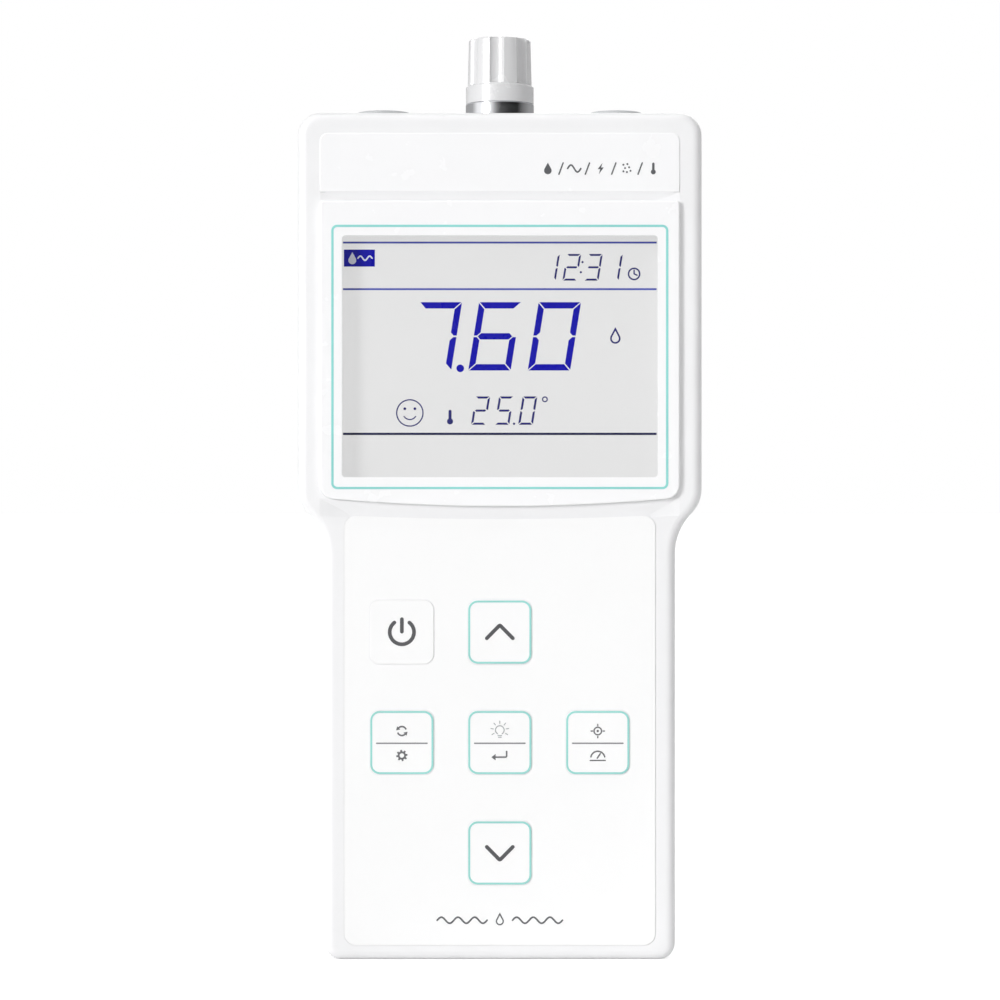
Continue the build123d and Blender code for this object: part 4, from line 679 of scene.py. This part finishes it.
def display_prints():
    """Digits, marks and rules on the display."""
    deep = ink("reading_ink", srgb(10, 6, 168), 0.3)
    slate = ink("small_reading_ink", srgb(44, 44, 112), 0.3)
    rule = ink("rule_ink", srgb(74, 84, 178), 0.3)
    dark_rule = ink("dark_rule_ink", srgb(40, 44, 78), 0.3)
    pale = ink("display_pale_ink", srgb(226, 228, 240), 0.3)

    def put(name, faces, material, y=LCD_Y):
        pressed(name, faces, y, "housing", material)

    reading = digits(**MAIN_READING) + disc(*MAIN_POINT, MAIN_POINT_R)
    put("display_reading", reading, deep)
    clock_digits = digits(**CLOCK_READING)
    for dot in COLON_DOTS:
        clock_digits += disc(*dot, COLON_DOT_R, 12)
    put("display_clock_reading", clock_digits, slate)
    warmth = digits(**WARMTH_READING) + disc(*WARMTH_POINT, WARMTH_POINT_R, 12)
    ring = arc(*DEGREE_PLACE, DEGREE_R, 0, 360, 24)[:-1]
    warmth += stroke(ring, DEGREE_LINE, closed=True)
    put("display_temperature_reading", warmth, slate)
    stem = shifted(thermometer(), *THERMOMETER_PLACE, SIDE_MARK_SIZE)
    put("display_thermometer", stem, slate)
    put("display_smiley", smiley(*SMILEY_PLACE), slate)
    put("display_clock", shifted(clock(), *CLOCK_PLACE, SIDE_MARK_SIZE), slate)
    put("display_unit_droplet", shifted(droplet_line(), *UNIT_PLACE, UNIT_SIZE), slate)
    block = [[(BLOCK_LEFT, BLOCK_LOW_Z), (BLOCK_RIGHT, BLOCK_LOW_Z), (BLOCK_RIGHT, BLOCK_HIGH_Z),
              (BLOCK_LEFT, BLOCK_HIGH_Z)]]
    put("display_mode_block", block, deep)
    mark = shifted(droplet(), BLOCK_DROPLET_X, BLOCK_MARK_Z, BLOCK_DROPLET_SIZE)
    mark += shifted(sine(3.0, 0.9, 1.5, 0.32), BLOCK_WAVE_X, BLOCK_MARK_Z)
    put("display_mode_mark", mark, pale, LCD_Y - INK)
    rules = level_line(TOP_RULE_Z, RULE_LINE) + level_line(MIDDLE_RULE_Z, RULE_LINE)
    put("display_rules", rules, rule)
    put("display_low_rule", level_line(LOW_RULE_Z, LOW_RULE_LINE), dark_rule)


def case_prints():
    """Frame line on the bezel, marks on the header and the row of waves on the overlay."""
    cyan = ink("cyan_ink", srgb(150, 222, 218))
    grey = ink("grey_ink", srgb(96, 97, 100))
    mid = (FRAME_LOW_Z + FRAME_HIGH_Z) / 2
    height = (FRAME_HIGH_Z - FRAME_LOW_Z) / 2
    outline = rounded_box(0, mid, FRAME_HALF_WIDTH, height, FRAME_CORNER_R)
    line = stroke(outline, FRAME_LINE, closed=True)
    pressed("display_frame_line", line, BEZEL_Y, "housing", cyan)
    header = []
    marks = (droplet(), sine(2.8, 1.5, 1.0, 0.34), bolt(), dots(), thermometer())
    for i, mark in enumerate(marks):
        x = HEADER_MARK_X + i * HEADER_PITCH
        header += shifted(mark, x, HEADER_MARK_Z)
        if i:
            between = x - HEADER_PITCH / 2
            slash = [(between - SLASH_LEAN, SLASH_LOW_Z), (between + SLASH_LEAN, SLASH_HIGH_Z)]
            header += stroke(slash, SLASH_LINE)
    pressed("header_marks", header, HEADER_Y, "housing", grey)
    foot = shifted(droplet_line(), 0.0, FOOT_DROPLET_Z)
    for side in (-1, 1):
        foot += shifted(sine(10.6, 1.3, 3.0, 0.36), side * FOOT_WAVE_X, FOOT_WAVE_Z)
    pressed("water_mark", foot, OVERLAY_Y, "housing", grey)


def seams():
    """Thin beads that close the seam round the header panel and the rings round the keys."""
    white = surface("seam_white", srgb(247, 247, 248), 0.4, grain=0.2, depth=0.002, shade=0.99)
    mid = (HEADER_LOW_Z + HEADER_HIGH_Z) / 2
    height = (HEADER_HIGH_Z - HEADER_LOW_Z) / 2
    inner = rounded_box(0, mid, HEADER_HALF_WIDTH, height, HEADER_CORNER_R)
    outer = rounded_box(0, mid, HEADER_HALF_WIDTH + SEAM, height + SEAM, HEADER_CORNER_R + SEAM)
    pressed("header_seam", band(outer, inner), FACE_Y, "housing", white)
    half = KEY_SIDE / 2
    inner = rounded_box(0, 0, half + KEY_SEAM_IN, half + KEY_SEAM_IN, KEY_CORNER_R + KEY_SEAM_IN)
    outer = rounded_box(0, 0, half + KEY_SEAM_OUT, half + KEY_SEAM_OUT, KEY_CORNER_R)
    for key, (x, z) in KEY_PLACES.items():
        pressed(key + "_seam", shifted(band(outer, inner), x, z), KEY_SEAM_Y, "housing",
                white)


def key_prints():
    """Outlines and signs on the keys, each of which moves with its key."""
    cyan = ink("key_cyan_ink", srgb(158, 222, 216))
    grey = ink("symbol_grey_ink", srgb(92, 92, 94))
    pale = ink("legend_grey_ink", srgb(110, 110, 112))
    faint = ink("faint_grey_ink", srgb(170, 172, 174))
    rule = ink("divider_grey_ink", srgb(140, 140, 142))

    def put(key, part, faces, material):
        x, z = KEY_PLACES[key]
        name = key + "_" + part
        pressed(name, shifted(faces, x, z), KEY_Y, key + "_body", material)

    half = KEY_SIDE / 2 - KEY_LINE_INSET
    outline = rounded_box(0, 0, half, half, KEY_CORNER_R - KEY_LINE_INSET)
    for key in KEY_PLACES:
        if key != "power_key":
            put(key, "outline", stroke(outline, KEY_LINE, closed=True), cyan)
    ring = arc(0, 0, POWER_RING_R, POWER_RING_START, POWER_RING_END, 44)
    power = stroke(ring, SYMBOL_LINE)
    power += stroke([(0, POWER_STEM_LOW_Z), (0, POWER_STEM_HIGH_Z)], SYMBOL_LINE)
    put("power_key", "symbol", power, grey)
    chevron = bend([(-CHEVRON_HALF_WIDTH, CHEVRON_LOW_Z), (0.0, CHEVRON_HIGH_Z),
                    (CHEVRON_HALF_WIDTH, CHEVRON_LOW_Z)], CHEVRON_BEND_R)
    put("up_key", "symbol", stroke(chevron, SYMBOL_LINE), grey)
    chevron = [(x, -z) for x, z in chevron]
    put("down_key", "symbol", stroke(chevron, SYMBOL_LINE), grey)
    legends = {"mode_key": (cycle(), gear()), "enter_key": (bulb(), return_arrow()),
               "cal_key": (target(), gauge())}
    for key, (upper, lower) in legends.items():
        ends = [(-DIVIDER_WIDTH / 2, DIVIDER_Z), (DIVIDER_WIDTH / 2, DIVIDER_Z)]
        divider = stroke(ends, DIVIDER_LINE)
        put(key, "divider", divider, rule)
        upper_ink = faint if key == "enter_key" else pale
        put(key, "upper_legend", shifted(upper, 0, LEGEND_RISE), upper_ink)
        put(key, "lower_legend", shifted(lower, 0, -LEGEND_DROP), pale)


# Studio

def camera():
    data = bpy.data.cameras.new("camera")
    data.sensor_width = SENSOR
    data.lens = FOCAL_PIXELS / IMAGE_SIZE * SENSOR
    data.shift_x = CAMERA_SHIFT
    data.clip_start = 0.01
    holder = bpy.data.objects.new("camera", data)
    holder.location = (0.0, CAMERA_Y * MM, CAMERA_Z * MM)
    holder.rotation_euler = (math.radians(90), 0.0, 0.0)
    bpy.context.scene.collection.objects.link(holder)
    bpy.context.scene.camera = holder


def lamp(name, direction, strength, spread):
    """Soft distant lamp, even all over the object."""
    data = bpy.data.lights.new(name, "SUN")
    data.energy = strength
    data.angle = math.radians(spread)
    holder = bpy.data.objects.new(name, data)
    holder.rotation_euler = Vector(direction).to_track_quat("Z", "Y").to_euler()
    bpy.context.scene.collection.objects.link(holder)


def background(tree, colour=None):
    node = tree.nodes.new("ShaderNodeBackground")
    if colour is None:
        node.inputs["Color"].default_value = (1.0, 1.0, 1.0, 1.0)
    else:
        tree.links.new(colour, node.inputs["Color"])
    return node.outputs[0]


def mixed(tree, share, first, second):
    node = tree.nodes.new("ShaderNodeMixShader")
    for source, socket in zip((share, first, second), node.inputs):
        tree.links.new(source, socket)
    return node.outputs[0]


def round_room(tree, turn, stops):
    return ramp(tree, turn, [((angle + 180) / 360, (value,) * 3) for angle, value in stops])


def studio_world():
    """Pale room, a little dimmer to the left, whose dark screen shows only in mirrors."""
    world = bpy.data.worlds.new("studio")
    world.use_nodes = True
    tree = world.node_tree
    tree.nodes.clear()
    coords = tree.nodes.new("ShaderNodeTexCoord")
    axes = tree.nodes.new("ShaderNodeSeparateXYZ")
    tree.links.new(coords.outputs["Generated"], axes.inputs[0])
    toward = math_node(tree, "MULTIPLY", axes.outputs["Y"], -1.0)
    angle = math_node(tree, "ARCTAN2", axes.outputs["X"], toward)
    turn = math_node(tree, "MULTIPLY_ADD", angle, 1.0 / (2 * math.pi))
    turn.node.inputs[2].default_value = 0.5
    room = background(tree, round_room(tree, turn, ROOM_STOPS))
    mirror = background(tree, round_room(tree, turn, MIRROR_STOPS))
    path = tree.nodes.new("ShaderNodeLightPath")
    seen = math_node(tree, "MAXIMUM", path.outputs["Is Camera Ray"],
                     path.outputs["Is Transmission Ray"])
    lit = mixed(tree, path.outputs["Is Glossy Ray"], room, mirror)
    output = tree.nodes.new("ShaderNodeOutputWorld")
    tree.links.new(mixed(tree, seen, lit, background(tree)), output.inputs["Surface"])
    bpy.context.scene.world = world


def floor_material():
    """Pale floor that reads as white where nothing shades it."""
    material, tree, shader = new_material("floor")
    tree.links.new(ramp(tree, noise(tree, 40.0), [(0.3, (0.79,) * 3), (0.7, (0.81,) * 3)]),
                   shader.inputs["Base Color"])
    shader.inputs["Roughness"].default_value = 0.9
    shader.inputs["Specular IOR Level"].default_value = 0.0
    shader.inputs["Emission Color"].default_value = (1.0, 1.0, 1.0, 1.0)
    path = tree.nodes.new("ShaderNodeLightPath")
    seen = math_node(tree, "MAXIMUM", path.outputs["Is Camera Ray"], path.outputs["Is Glossy Ray"])
    seen = math_node(tree, "MAXIMUM", seen, path.outputs["Is Transmission Ray"])
    glow = math_node(tree, "MULTIPLY", seen, FLOOR_GLOW)
    tree.links.new(glow, shader.inputs["Emission Strength"])
    return material


def floor():
    mesh = bpy.data.meshes.new("floor")
    reach, level = FLOOR_REACH, -FLOOR_DROP * MM
    corners = [(-reach, -reach, level), (reach, -reach, level), (reach, reach, level),
               (-reach, reach, level)]
    mesh.from_pydata(corners, [], [(0, 1, 2, 3)])
    mesh.materials.append(floor_material())
    piece = bpy.data.objects.new("floor", mesh)
    bpy.context.scene.collection.objects.link(piece)


dress_nodes()
display_prints()
case_prints()
seams()
key_prints()
camera()
for name, (direction, strength, spread) in LAMPS.items():
    lamp(name, direction, strength, spread)
studio_world()
floor()
bpy.context.scene.view_settings.view_transform = "Standard"
